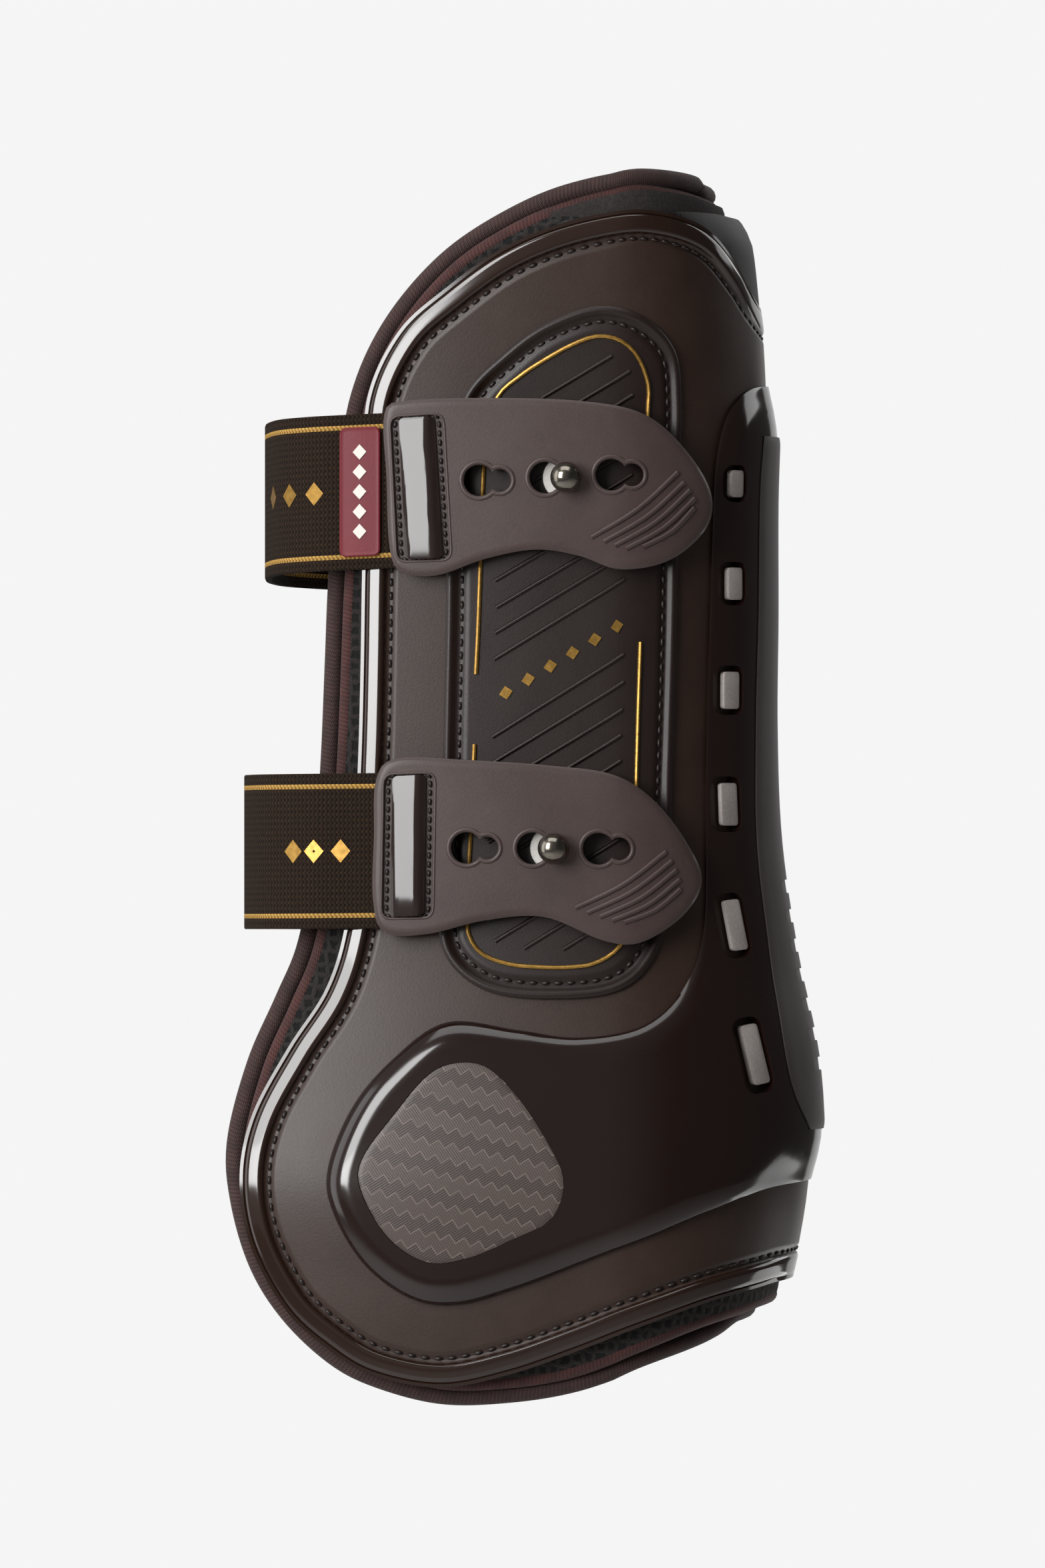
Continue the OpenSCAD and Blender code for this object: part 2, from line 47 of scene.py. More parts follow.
# Every layer of the boot is cut in the same flat pattern, in millimetres: q
# runs back along the near side, round the back and forward along the far
# side, z runs up, and d stands out from the shell's face.
bend_at = 8.0        # mm behind the leg axis where the flat side starts to curve
quarter = 60.0       # mm of pattern from there to the middle of the back
middle = bend_at + quarter
side_long = 56.0     # mm of side in front of bend_at, for the next value
wing_in = 5.3        # mm that the side turns in towards the leg over side_long
step_up = 25.0       # mm between the heights that the next two lists are given at
half_width = [43.6, 45.3, 46.0, 42.3, 38.4, 38.0, 38.0, 38.0, 38.0, 38.3, 39.6, 41.5]
back_depth = [44.5, 48.3, 52.3, 51.6, 46.6, 43.0, 42.0, 42.2, 42.2, 42.7, 40.9, 38.0]
layer_gap = 0.5
shell_thick, mesh_thick, foam_thick, lining_thick = 2.4, 2.2, 3.8, 1.4
mesh_face = -shell_thick - layer_gap
foam_face = mesh_face - mesh_thick - layer_gap
lining_face = foam_face - foam_thick - layer_gap


def between(a, b, c, d, t):
    """A point of the smooth curve from b to c, with a and d its neighbours."""
    return 0.5 * (2 * b + (c - a) * t + (2 * a - 5 * b + 4 * c - d) * t**2 + (3 * b - a - 3 * c + d) * t**3)


def along(values, place):
    """A smooth value at a place counted in steps along a list."""
    first = max(0, min(int(place), len(values) - 2))
    near = [values[max(0, min(first + n, len(values) - 1))] for n in (-1, 0, 1, 2)]
    return between(*near, place - first)


def wrap(q, z, d):
    """Where a point of the flat pattern lies on the boot, in metres."""
    side = -1.0
    if q > middle:
        q, side = 2 * middle - q, 1.0
    wide = along(half_width, z / step_up)
    deep = along(back_depth, z / step_up) - bend_at
    if q <= bend_at:
        reach = (bend_at - q) / side_long
        out = Vector((-2 * wing_in * reach / side_long, -1)).normalized()
        x, y = q + d * out.x, -wide + wing_in * reach**2 + d * out.y
    else:
        turn = math.radians(90 * (q - bend_at) / quarter)
        out = Vector((math.sin(turn) / deep, -math.cos(turn) / wide)).normalized()
        x, y = bend_at + deep * math.sin(turn) + d * out.x, -wide * math.cos(turn) + d * out.y
    return Vector((x, -side * y, z)) * mm


def pattern_q(x, z, d=0.0):
    """The pattern's q of a point seen at x from the near side."""
    if x <= bend_at:
        slope = -2 * wing_in * (bend_at - x) / side_long**2
        return x - d * slope / math.hypot(1, slope)
    sine = (x - bend_at) / (along(back_depth, z / step_up) + d - bend_at)
    return bend_at + quarter * math.degrees(math.asin(min(1.0, sine))) / 90


def lay(points, d=0.0):
    """Side-view points as points of the flat pattern; a third number marks one that already is."""
    return [Vector(p[:2]) if len(p) > 2 else Vector((pattern_q(p[0], p[1], d), p[1])) for p in points]


def drawn(points, step, closed=False):
    """A smooth line through the points, as points a step apart."""
    n = len(points)
    fine = []
    for i in range(n if closed else n - 1):
        if closed:
            near = [points[(i + k) % n] for k in (-1, 0, 1, 2)]
        else:
            near = [points[max(0, min(i + k, n - 1))] for k in (-1, 0, 1, 2)]
        fine += [between(*near, t / 12) for t in range(12)]
    fine.append(points[0] if closed else points[-1])
    run = [0.0]
    for a, b in zip(fine, fine[1:]):
        run.append(run[-1] + (b - a).length)
    count = max(2, round(run[-1] / step))
    even, k = [], 0
    for i in range(count + (0 if closed else 1)):
        want = run[-1] * i / count
        while k < len(run) - 2 and run[k + 1] < want:
            k += 1
        even.append(fine[k].lerp(fine[k + 1], (want - run[k]) / max(run[k + 1] - run[k], 1e-9)))
    return even


def both_sides(half):
    """The closed outline of which half is the near side, from its bottom middle to its top middle."""
    return half + [Vector((2 * middle - p.x, p.y)) for p in reversed(half[1:-1])]


def drawn_in(outline, width):
    """A closed outline moved inwards; its points run clockwise as seen from outside."""
    moved = []
    for i, p in enumerate(outline):
        run = (outline[(i + 1) % len(outline)] - outline[i - 1]).normalized()
        moved.append(p + width * Vector((run.y, -run.x)))
    return moved


def blank(outline, edge, back):
    """A flat solid with its front shaped by edge, a list of (distance in from the outline, height)."""
    bm = bmesh.new()
    face = bm.faces.new([bm.verts.new((p.x, -edge[0][1], p.y)) for p in outline])
    for (before, _), (inset, height) in zip(edge, edge[1:]):
        bmesh.ops.inset_region(
            bm, faces=[face], thickness=inset - before, use_boundary=True, use_even_offset=True)
        for vert in face.verts:
            vert.co.y = -height
    made = bmesh.ops.extrude_face_region(bm, geom=bm.faces[:], use_keep_orig=True)
    for part in made["geom"]:
        if isinstance(part, bmesh.types.BMVert):
            part.co.y = -back
    bmesh.ops.recalc_face_normals(bm, faces=bm.faces[:])
    return bm


def crease_lines(bm, across, up):
    """Cuts the wide faces of a flat solid into a lattice, so that it can curve."""
    for axis, pitch in ((0, across), (2, up)):
        low = min(v.co[axis] for v in bm.verts)
        high = max(v.co[axis] for v in bm.verts)
        normal = Vector((0, 0, 0))
        normal[axis] = 1
        for n in range(1, int((high - low) / pitch) + 1):
            cut = low + n * pitch
            wide = []
            for face in bm.faces:
                reach = [v.co[axis] for v in face.verts]
                if min(reach) < cut - 0.3 * pitch and max(reach) > cut + 0.3 * pitch:
                    wide.append(face)
            geom = {part for face in wide for part in (face, *face.edges, *face.verts)}
            bmesh.ops.bisect_plane(
                bm, geom=list(geom), dist=1e-5, plane_co=normal * cut, plane_no=normal)


def piece(name, bm, body, materials, nodes=(), place=wrap, relief=None, sharp=40):
    """Curves a flat solid into place and makes it a piece that rides on a body."""
    pattern = bm.loops.layers.uv.active or bm.loops.layers.uv.new("pattern")
    if not bm.loops.layers.uv.get("UVMap"):
        for face in bm.faces:
            for loop in face.loops:
                loop[pattern].uv = (loop.vert.co.x, loop.vert.co.z)
    for vert in bm.verts:
        q, z = vert.co.x, vert.co.z
        vert.co = place(q, z, -vert.co.y + (relief(q, z, -vert.co.y) if relief else 0.0))
    mesh = bpy.data.meshes.new(name)
    bm.to_mesh(mesh)
    bm.free()
    for material in materials:
        mesh.materials.append(material)
    mesh.polygons.foreach_set("use_smooth", [True] * len(mesh.polygons))
    mesh.set_sharp_from_angle(angle=math.radians(sharp))
    made = bpy.data.objects.new(name, mesh)
    bpy.context.collection.objects.link(made)
    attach(made, body)
    if nodes:
        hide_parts(*nodes)
    return made


def linear(code):
    """An sRGB hex colour as linear light."""
    parts = [int(code[i:i + 2], 16) / 255 for i in (1, 3, 5)]
    return tuple(c / 12.92 if c <= 0.04045 else ((c + 0.055) / 1.055) ** 2.4 for c in parts) + (1.0,)


def add(material, kind, feeds=None, **settings):
    """Adds one node to a material, with its settings and what its sockets are fed."""
    made = material.node_tree.nodes.new("ShaderNode" + kind)
    for name, value in settings.items():
        setattr(made, name, value)
    for socket, value in (feeds or {}).items():
        if isinstance(value, bpy.types.NodeSocket):
            material.node_tree.links.new(value, made.inputs[socket])
        else:
            made.inputs[socket].default_value = value
    return made


def new_finish(name, **shader_values):
    """A named material and its shader, with values set on the shader's own sockets."""
    material = bpy.data.materials.new(name)
    material.use_nodes = True
    shader = material.node_tree.nodes["Principled BSDF"]
    for socket, value in shader_values.items():
        shader.inputs[socket.replace("_", " ")].default_value = value
    return material, shader


liner_half = [
    (68, 20.2, 1), (59, 20, 1), (50, 19.2, 1), (29.3, 15.9), (14.3, 10.3), (-0.5, 4.8), (-15.2, 2.4),
    (-30, 2.1), (-44.2, 5.7), (-53.7, 10.6), (-63.5, 19.8), (-70.5, 30.9), (-74.7, 45.2), (-75.4, 58.2),
    (-71, 75.4), (-64.8, 89.6), (-59.8, 102), (-56.2, 121.7), (-54.7, 142), (-53.8, 163), (-52.9, 184),
    (-51, 204), (-48.1, 223.3), (-40.9, 239.3), (-28.8, 253.5), (-14.2, 263.2), (0.5, 269.1),
    (14, 271.9), (26, 271), (50, 269.8, 1), (59, 269.3, 1), (68, 269.2, 1)]


def liner_outline(d, inset, step=2.5):
    whole = both_sides(drawn(lay(liner_half, d), step))
    return drawn_in(whole, inset)


# neoprene: closed-cell rubber sheet faced with smooth knit, punched with
# breathing holes; a dull black-brown cloth, its rows of holes painted near-black as painted shade
neoprene, shader = new_finish("perforated neoprene, punched", Roughness=0.85, Sheen_Weight=0.25)
hole_pitch = 5.0     # mm
hole_radius = 0.95   # mm
uv = add(neoprene, "UVMap").outputs[0]
cells = add(neoprene, "VectorMath", {0: uv, 1: (1 / hole_pitch,) * 3}, operation="MULTIPLY").outputs[0]
near_hole = add(neoprene, "VectorMath", {0: cells}, operation="FRACTION").outputs[0]
to_hole = add(neoprene, "VectorMath", {0: near_hole, 1: (0.5, 0.5, 0)}, operation="DISTANCE").outputs["Value"]
hole_edge = hole_radius / hole_pitch
hole = add(neoprene, "MapRange", {0: to_hole, 1: hole_edge * 0.8, 2: hole_edge}).outputs[0]
knit = add(neoprene, "TexNoise", {"Vector": uv, "Scale": 2.2, "Detail": 3.0}).outputs[0]
cloth = add(neoprene, "MixRGB", {0: knit, 1: linear("#1a1615"), 2: linear("#2b2523")}).outputs[0]
# the holes are painted near-black: painted shade inside them
colour = add(neoprene, "MixRGB", {0: hole, 1: linear("#060505"), 2: cloth}).outputs[0]
neoprene.node_tree.links.new(colour, shader.inputs["Base Color"])
height = add(neoprene, "Math", {0: hole, 1: knit}, operation="MULTIPLY").outputs[0]
bump = add(neoprene, "Bump", {"Height": height, "Strength": 0.6, "Distance": 0.4 * mm}).outputs[0]
neoprene.node_tree.links.new(bump, shader.inputs["Normal"])

lining_inset = 2.2   # mm inside the line that the binding follows
lining_edge = [(0, lining_face - 0.5), (0.6, lining_face)]
bm = blank(liner_outline(lining_face, lining_inset), lining_edge, lining_face - lining_thick)
crease_lines(bm, 5.0, 6.0)
lining_sheet = piece("inner_lining_sheet", bm, "boot", [neoprene], ["inner_lining"])


# ---------------------------------------------------------------------------
# Impact foam
# Closed-cell foam slab glued over the lining, die-cut a little smaller so that
# the bindings cover its edge.
# ---------------------------------------------------------------------------
# polyethylene foam, sliced: dead matt and grey-black, with cells too fine to count
foam, shader = new_finish("closed-cell foam, cut", Roughness=0.9)
at = add(foam, "TexCoord").outputs["Object"]
cells = add(foam, "TexVoronoi", {"Vector": at, "Scale": 1500.0}).outputs[0]
colour = add(foam, "MixRGB", {0: cells, 1: linear("#1c1918"), 2: linear("#332d2b")}).outputs[0]
foam.node_tree.links.new(colour, shader.inputs["Base Color"])
foam_inset = 2.8
foam_edge = [(0, foam_face - 1.2), (0.8, foam_face - 0.3), (2.0, foam_face)]
bm = blank(liner_outline(foam_face, foam_inset), foam_edge, foam_face - foam_thick)
crease_lines(bm, 5.0, 6.0)
foam_slab = piece("impact_foam_slab", bm, "boot", [foam], ["impact_foam"])

# ---------------------------------------------------------------------------
# Spacer mesh
# Open knitted spacer fabric between the foam and the shell; a dark fuzzy
# strip of it shows between the shell's rim and the binding.
# ---------------------------------------------------------------------------
# polyester spacer fabric: no shine at all, fuzzy brown-black strands, with painted shade, near-black, in the
# holes between them
spacer_knit, shader = new_finish("spacer knit, warp-knitted", Roughness=0.95, Sheen_Weight=0.1)
uv = add(spacer_knit, "UVMap").outputs[0]
strand_gap = 2.6     # mm between the holes of the knit
bent = add(spacer_knit, "TexNoise", {"Vector": uv, "Scale": 0.9, "Detail": 2.0}).outputs["Color"]
wander = add(spacer_knit, "VectorMath", {0: bent, 1: (0.8,) * 3, 2: uv}, operation="MULTIPLY_ADD").outputs[0]
hole = add(spacer_knit, "TexVoronoi", {"Vector": wander, "Scale": 1 / strand_gap, "Randomness": 0.45},
           feature="DISTANCE_TO_EDGE").outputs[0]
strand = add(spacer_knit, "MapRange", {0: hole, 1: 0.26, 2: 0.08}).outputs[0]
fuzz = add(spacer_knit, "TexNoise", {"Vector": uv, "Scale": 4.5, "Detail": 4.0}).outputs[0]
strands_and_painted_hole_shade = add(spacer_knit, "Math", {0: strand, 1: fuzz}, operation="MULTIPLY").outputs[0]
# the holes between the strands are painted near-black: painted shade in the openings
colour = add(spacer_knit, "MixRGB", {0: strands_and_painted_hole_shade, 1: linear("#030202"), 2: linear("#352926")}).outputs[0]
spacer_knit.node_tree.links.new(colour, shader.inputs["Base Color"])
bump = add(spacer_knit, "Bump", {"Height": strands_and_painted_hole_shade, "Strength": 1.0, "Distance": 1.0 * mm}).outputs[0]
spacer_knit.node_tree.links.new(bump, shader.inputs["Normal"])


def tucked(q, z, d):
    """The mesh is drawn in towards the lining at its top and bottom edges."""
    top, foot = max(0.0, z - 252) / 14, max(0.0, 20 - z) / 14
    return -4.2 * min(1.0, top) ** 2 - 2.0 * min(1.0, foot) ** 2


mesh_inset = 3.4
mesh_edge = [(0, mesh_face - 1.0), (0.8, mesh_face - 0.1), (2.0, mesh_face)]
bm = blank(liner_outline(mesh_face, mesh_inset), mesh_edge, mesh_face - mesh_thick)
crease_lines(bm, 4.0, 4.0)
mesh_sheet = piece("spacer_mesh_sheet", bm, "boot", [spacer_knit], ["spacer_mesh"], relief=tucked)

# ---------------------------------------------------------------------------
# Bindings
# Woven tape rolled and stitched over the cut edges of the layers: a wide dark
# roll round the lining and foam, and a narrower, redder one round the mesh.
# ---------------------------------------------------------------------------
roll_radius = 2.1
bead_radius = 1.75


def tape_finish(name, dark, light, rib):
    """Grosgrain tape: fine ribs across it, with a dry, slightly fuzzy face."""
    tape, shader = new_finish(name, Roughness=0.8, Sheen_Weight=0.08)
    uv = add(tape, "UVMap").outputs[0]
    split = add(tape, "SeparateXYZ", {0: uv})
    slant = add(tape, "Math", {0: split.outputs[0], 1: split.outputs[1]}, operation="ADD").outputs[0]
    ribs = add(tape, "Math", {0: slant, 1: 2 * math.pi / rib}, operation="MULTIPLY").outputs[0]
    ribs = add(tape, "Math", {0: ribs}, operation="SINE").outputs[0]
    warp = 2 * math.pi / (rib * 1.3)
    threads = add(tape, "Math", {0: split.outputs[1], 1: warp}, operation="MULTIPLY").outputs[0]
    threads = add(tape, "Math", {0: threads}, operation="SINE").outputs[0]
    weave = add(tape, "Math", {0: ribs, 1: threads}, operation="MULTIPLY").outputs[0]
    weave = add(tape, "MapRange", {0: weave, 1: -1.0, 2: 1.0}).outputs[0]
    cloud = add(tape, "TexNoise", {"Vector": uv, "Scale": 0.25, "Detail": 5.0}).outputs[0]
    tone = add(tape, "Math", {0: weave, 1: cloud}, operation="MULTIPLY").outputs[0]
    tone = add(tape, "Math", {0: tone, 1: 1.7}, operation="MULTIPLY").outputs[0]
    colour = add(tape, "MixRGB", {0: tone, 1: linear(dark), 2: linear(light)}).outputs[0]
    tape.node_tree.links.new(colour, shader.inputs["Base Color"])
    bump = add(tape, "Bump", {"Height": weave, "Strength": 0.55, "Distance": 0.25 * mm}).outputs[0]
    tape.node_tree.links.new(bump, shader.inputs["Normal"])
    return tape


def bead(path, radius, closed=True, rounds=3, squash=1.0):
    """A round bead along a path of pattern points (q, d, z), its UV in millimetres along and round it."""
    line = bpy.data.curves.new("bead", "CURVE")
    line.dimensions = "3D"
    line.bevel_depth = radius
    line.bevel_resolution = rounds
    line.use_fill_caps = not closed
    run = line.splines.new("POLY")
    run.points.add(len(path) - 1)
    for point, (q, d, z) in zip(run.points, path):
        point.co = (q, -d, z, 1)
    run.use_cyclic_u = closed
    holder = bpy.data.objects.new("bead", line)
    bpy.context.collection.objects.link(holder)
    mesh = bpy.data.meshes.new_from_object(holder, preserve_all_data_layers=True)
    bpy.data.objects.remove(holder)
    length = sum((Vector(a) - Vector(b)).length for a, b in zip(path, path[1:]))
    bm = bmesh.new()
    bm.from_mesh(mesh)
    bpy.data.meshes.remove(mesh)
    layer = bm.loops.layers.uv["UVMap"]
    for face in bm.faces:
        for loop in face.loops:
            loop[layer].uv = (loop[layer].uv.x * length, loop[layer].uv.y * 2 * math.pi * radius)
    if squash != 1.0:
        level = -path[0][1]
        for vert in bm.verts:
            vert.co.y = level + (vert.co.y - level) * squash
    bmesh.ops.recalc_face_normals(bm, faces=bm.faces[:])
    return bm


tape_rib = 0.9       # mm, drawn about twice as coarse as real grosgrain so that it shows
dark_tape = tape_finish("grosgrain tape, woven dark", "#1a0d0b", "#4c322e", tape_rib)
red_tape = tape_finish("grosgrain tape, woven russet", "#1f0b09", "#582c28", tape_rib)
roll_d = lining_face - lining_thick + roll_radius
path = [(p.x, roll_d, p.y) for p in liner_outline(lining_face, 0.0, 2.0)]
piece(
    "lining_binding_roll", bead(path, roll_radius, rounds=5), "boot", [dark_tape], ["lining_binding"])
path = [(p.x, mesh_face - 1.7, p.y) for p in liner_outline(mesh_face, 3.0, 2.0)]
piece(
    "mesh_binding_roll", bead(path, bead_radius, rounds=5), "boot", [red_tape], ["mesh_binding"],
    relief=tucked)

# ---------------------------------------------------------------------------
# Outer shell
# One injection-moulded TPU shell: a satin, finely grained field inside a
# polished rim, with a sewing groove between the two.
# ---------------------------------------------------------------------------
shell_half = [
    (68, 27.4, 1), (54, 26.9, 1), (42, 26.2), (30, 23.2), (15, 18), (0, 12.2), (-15, 7), (-30, 4.1),
    (-45, 6.8), (-55, 12.6), (-64.3, 21.1), (-72, 35.2), (-74.5, 50), (-71.8, 64.1), (-63.8, 79.1),
    (-55.5, 92), (-51.2, 106), (-49.2, 125), (-48.2, 145), (-47.7, 165), (-47.4, 184), (-46.9, 204),
    (-46.3, 222.8), (-39.5, 237.5), (-29.3, 246.9), (-15.8, 256.3), (0, 262.3), (15, 264.5),
    (28.3, 260.9), (36, 252.2), (53, 247.6, 1), (60, 244.6, 1), (68, 243.4, 1)]
rim_edge = [
    (0, 0.0), (0.2, 0.4), (0.95, 0.5), (1.15, 0.25), (1.35, 0.5), (1.6, 0.72), (2.4, 0.84), (3.2, 0.95),
    (4.0, 1.06), (4.6, 1.08), (5.0, 0.9), (5.3, 0.45), (5.5, 0.0)]
groove_edge = [(5.8, -0.35), (6.4, -0.5), (7.1, -0.35), (7.6, 0.0), (8.3, 0.0)]


def satin_tpu(name, dark, light, roughness=0.46, grain=0.45):
    """Moulded TPU with a spark-eroded grain: a soft sheen with fine speckle, a little uneven in tone."""
    moulded, shader = new_finish(name, Roughness=roughness, IOR=1.5, Specular_IOR_Level=0.42)
    at = add(moulded, "TexCoord").outputs["Object"]
    speckle = add(moulded, "TexNoise", {"Vector": at, "Scale": 1 / (grain * mm), "Detail": 2.0}).outputs[0]
    cloud = add(moulded, "TexNoise", {
        "Vector": at, "Scale": 55.0, "Detail": 4.0, "Roughness": 0.6}).outputs[0]
    tone = add(moulded, "Math", {0: speckle, 1: 0.35}, operation="MULTIPLY").outputs[0]
    tone = add(moulded, "Math", {0: cloud, 1: 0.65, 2: tone}, operation="MULTIPLY_ADD").outputs[0]
    colour = add(moulded, "MixRGB", {0: tone, 1: linear(dark), 2: linear(light)}).outputs[0]
    moulded.node_tree.links.new(colour, shader.inputs["Base Color"])
    dull = add(moulded, "MapRange", {0: cloud, 3: roughness - 0.06, 4: roughness + 0.06}).outputs[0]
    moulded.node_tree.links.new(dull, shader.inputs["Roughness"])
    bump = add(moulded, "Bump", {"Height": speckle, "Strength": 0.35, "Distance": 0.06 * mm}).outputs[0]
    moulded.node_tree.links.new(bump, shader.inputs["Normal"])
    return moulded


def polished_tpu(name, code, roughness=0.1, ripple=0.02, gloss=0.75):
    """TPU from a polished mould: deep colour under a hard gloss with a faint ripple."""
    moulded, shader = new_finish(name, Roughness=roughness, IOR=1.5, Specular_IOR_Level=gloss)
    at = add(moulded, "TexCoord").outputs["Object"]
    cloud = add(moulded, "TexNoise", {"Vector": at, "Scale": 40.0, "Detail": 5.0}).outputs[0]
    darker = tuple(c * 0.72 for c in linear(code)[:3]) + (1.0,)
    colour = add(moulded, "MixRGB", {0: cloud, 1: darker, 2: linear(code)}).outputs[0]
    moulded.node_tree.links.new(colour, shader.inputs["Base Color"])
    dull = add(moulded, "MapRange", {0: cloud, 3: roughness * 0.7, 4: roughness * 1.4}).outputs[0]
    moulded.node_tree.links.new(dull, shader.inputs["Roughness"])
    waves = add(moulded, "TexNoise", {"Vector": at, "Scale": 90.0, "Detail": 1.0}).outputs[0]
    bump = add(moulded, "Bump", {"Height": waves, "Strength": 0.4, "Distance": ripple * mm}).outputs[0]
    moulded.node_tree.links.new(bump, shader.inputs["Normal"])
    return moulded


# thermoplastic polyurethane, dark brown: the field comes from an etched mould and
# has a broad soft sheen, the rim from a polished one and mirrors the lights
field_tpu = satin_tpu("TPU, grained moulding", "#241712", "#403029", roughness=0.4)
gloss_tpu = polished_tpu("TPU, polished moulding", "#2a1a13")

shell_outline = both_sides(drawn(lay(shell_half), 1.8))
bm = blank(shell_outline, rim_edge, -shell_thick)
field = max((f for f in bm.faces if f.normal.y < 0), key=lambda f: f.calc_area())
field.material_index = 1
for (before, _), (inset, height) in zip([rim_edge[-1]] + groove_edge, groove_edge):
    bmesh.ops.inset_region(bm, faces=[field], thickness=inset - before, use_even_offset=True)
    for vert in field.verts:
        vert.co.y = -height
crease_lines(bm, 3.5, 4.0)


def ease(t):
    """0 to 1, smoothly."""
    t = min(1.0, max(0.0, t))
    return t * t * (3 - 2 * t)


def thin_behind(q, z, d):
    """The rim sinks a little where it crosses the back."""
    return -0.7 * d * ease((min(q, 2 * middle - q) - 40) / 20) if d > 0 else 0.0


piece("shell_moulding", bm, "boot", [gloss_tpu, field_tpu], ["outer_shell"], relief=thin_behind)

# ---------------------------------------------------------------------------
# Rim stitching
# Bonded thread sewn through the shell and the layers in the rim's groove.
# ---------------------------------------------------------------------------
# bonded nylon: a dark thread with a slight shine and the fine slant of its twist
thread, shader = new_finish("bonded thread, twisted", Roughness=0.45)
at = add(thread, "TexCoord").outputs["Object"]
twist = add(thread, "TexNoise", {"Vector": at, "Scale": 2500.0}).outputs[0]
colour = add(thread, "MixRGB", {0: twist, 1: linear("#0b0706"), 2: linear("#2a1e1a")}).outputs[0]
thread.node_tree.links.new(colour, shader.inputs["Base Color"])


def stitches(line, d, pitch=3.0, length=1.05, radius=0.3, closed=True):
    """Short stitches along a pattern line, each a small rounded float of thread."""
    bm = bmesh.new()
    spots = drawn(line, pitch, closed)
    for i, spot in enumerate(spots):
        after = spots[(i + 1) % len(spots)] if closed or i + 1 < len(spots) else spot
        before = spots[i - 1] if closed or i > 0 else spot
        lean = (after - before).angle_signed(Vector((1, 0)), 0.0)
        turn = Matrix.Rotation(-lean, 4, "Y")
        size = Matrix.Diagonal((length, radius, radius * 1.2, 1))
        lie = Matrix.Translation((spot.x, -d, spot.y)) @ turn @ size
        bmesh.ops.create_uvsphere(bm, u_segments=6, v_segments=5, radius=1, matrix=lie)
    return bm


groove_in, groove_level = 6.4, -0.3
sewn = stitches(drawn_in(shell_outline, groove_in)[::2], groove_level, length=1.15, radius=0.36)
piece("rim_stitches", sewn, "boot", [thread], sharp=180)

# ---------------------------------------------------------------------------
# Tendon guard
# The hard outer strike plate, moulded in polished TPU and welded over the
# back of the shell: a bevelled edge, a low dome over each side of the
# fetlock with a tray for its pad, and a row of vent slots up each side.
# ---------------------------------------------------------------------------
guard_back, guard_front = 0.5, 2.7     # mm out from the shell's face
plate_lift = 1.6                       # mm that the plate rises over the fetlock
guard_half = [
    (68, 49.3, 1), (45, 48), (30, 43), (15, 37.1), (0, 31.5), (-13, 26.5), (-26.2, 22.7),
    (-36.5, 23.7), (-46.9, 31), (-53.9, 42.3), (-55.4, 52), (-50.2, 65.5), (-41.3, 76.3), (-29, 84.8),
    (-13, 83.1), (0, 81.5), (14.2, 83.8), (24.3, 92), (29.3, 104.7), (30, 125), (30.2, 150),
    (31, 175), (31.6, 195), (32.3, 208), (34.2, 217), (37.2, 222.3), (41, 225.4), (60, 226.3, 1),
    (68, 226.4, 1)]
guard_edge = [
    (0, 0.55), (0.15, 0.95), (0.45, 1.35), (0.9, 1.7), (1.4, 1.96), (2.0, 2.17), (2.8, 2.37), (3.6, 2.53),
    (4.4, 2.64), (5.2, guard_front), (6.2, guard_front)]
tray_depth = 1.2
pad_half = [
    (-47.4, 48), (-47, 55), (-40, 64.7), (-33, 73), (-27, 75.9), (-20, 75.2), (-13.5, 69.2),
    (-7.2, 60), (-2.8, 50.3), (-5.4, 41.7), (-14, 37), (-24, 32.8), (-33, 31.9), (-41.5, 37.5)]
vents = [  # x, z, width, height, tilt
    (35.8, 204.2, 7.5, 8.2, 0), (35.3, 182.0, 8.3, 9.6, 0), (34.4, 158.3, 8.8, 10.9, 0),
    (33.9, 133.0, 8.7, 12.3, 0), (35.4, 106.1, 7.8, 14.4, 6), (39.6, 77.4, 7.8, 16.9, 9)]


def dome(q, z, d):
    """How far the guard swells out over the fetlock on each side."""
    q = min(q, 2 * middle - q)
    swell = ease((8 - q) / 70) * ease((104 - z) / 26)
    return 1.5 * plate_lift * swell * min(1.0, max(0.0, (d - guard_back) / (guard_front - guard_back)))


def guard_shape(q, z, d):
    """The dome, the thin front edges above it, and the long slopes at both ends of the back."""
    from_middle = min(q, 2 * middle - q)
    behind = ease((from_middle - 30) / 14)
    slope = ease((z - 213) / 15) + ease((61.5 - z) / 14)
    thin = 0.6 * ease((z - 84) / 20) * ease((44 - from_middle) / 12) * (1 - behind * slope)
    return dome(q, z, d) - (behind * slope * 0.85 + thin) * max(0.0, d - guard_back)


def far_wrap(q, z, d):
    """The same place on the far side."""
    return wrap(2 * middle - q, z, d)


def prism(outline, low, high):
    """A flat solid between two depths."""
    return blank(outline, [(0, high)], low)


def rounded_box(x, z, wide, tall, tilt, corner, steps=4):
    """A rounded rectangle's outline, clockwise, turned by the tilt about its middle."""
    points = []
    for k, (sx, sz) in enumerate(((-1, 1), (1, 1), (1, -1), (-1, -1))):
        for s in range(steps + 1):
            turn = math.radians(180 - 90 * k - 90 * s / steps)
            points.append(Vector((
                sx * (wide / 2 - corner) + corner * math.cos(turn),
                sz * (tall / 2 - corner) + corner * math.sin(turn))))
    lean = math.radians(tilt)
    spun = [Vector((p.x * math.cos(lean) - p.y * math.sin(lean), p.x * math.sin(lean) + p.y * math.cos(lean)))
            for p in points]
    return [p + Vector((x, z)) for p in spun]


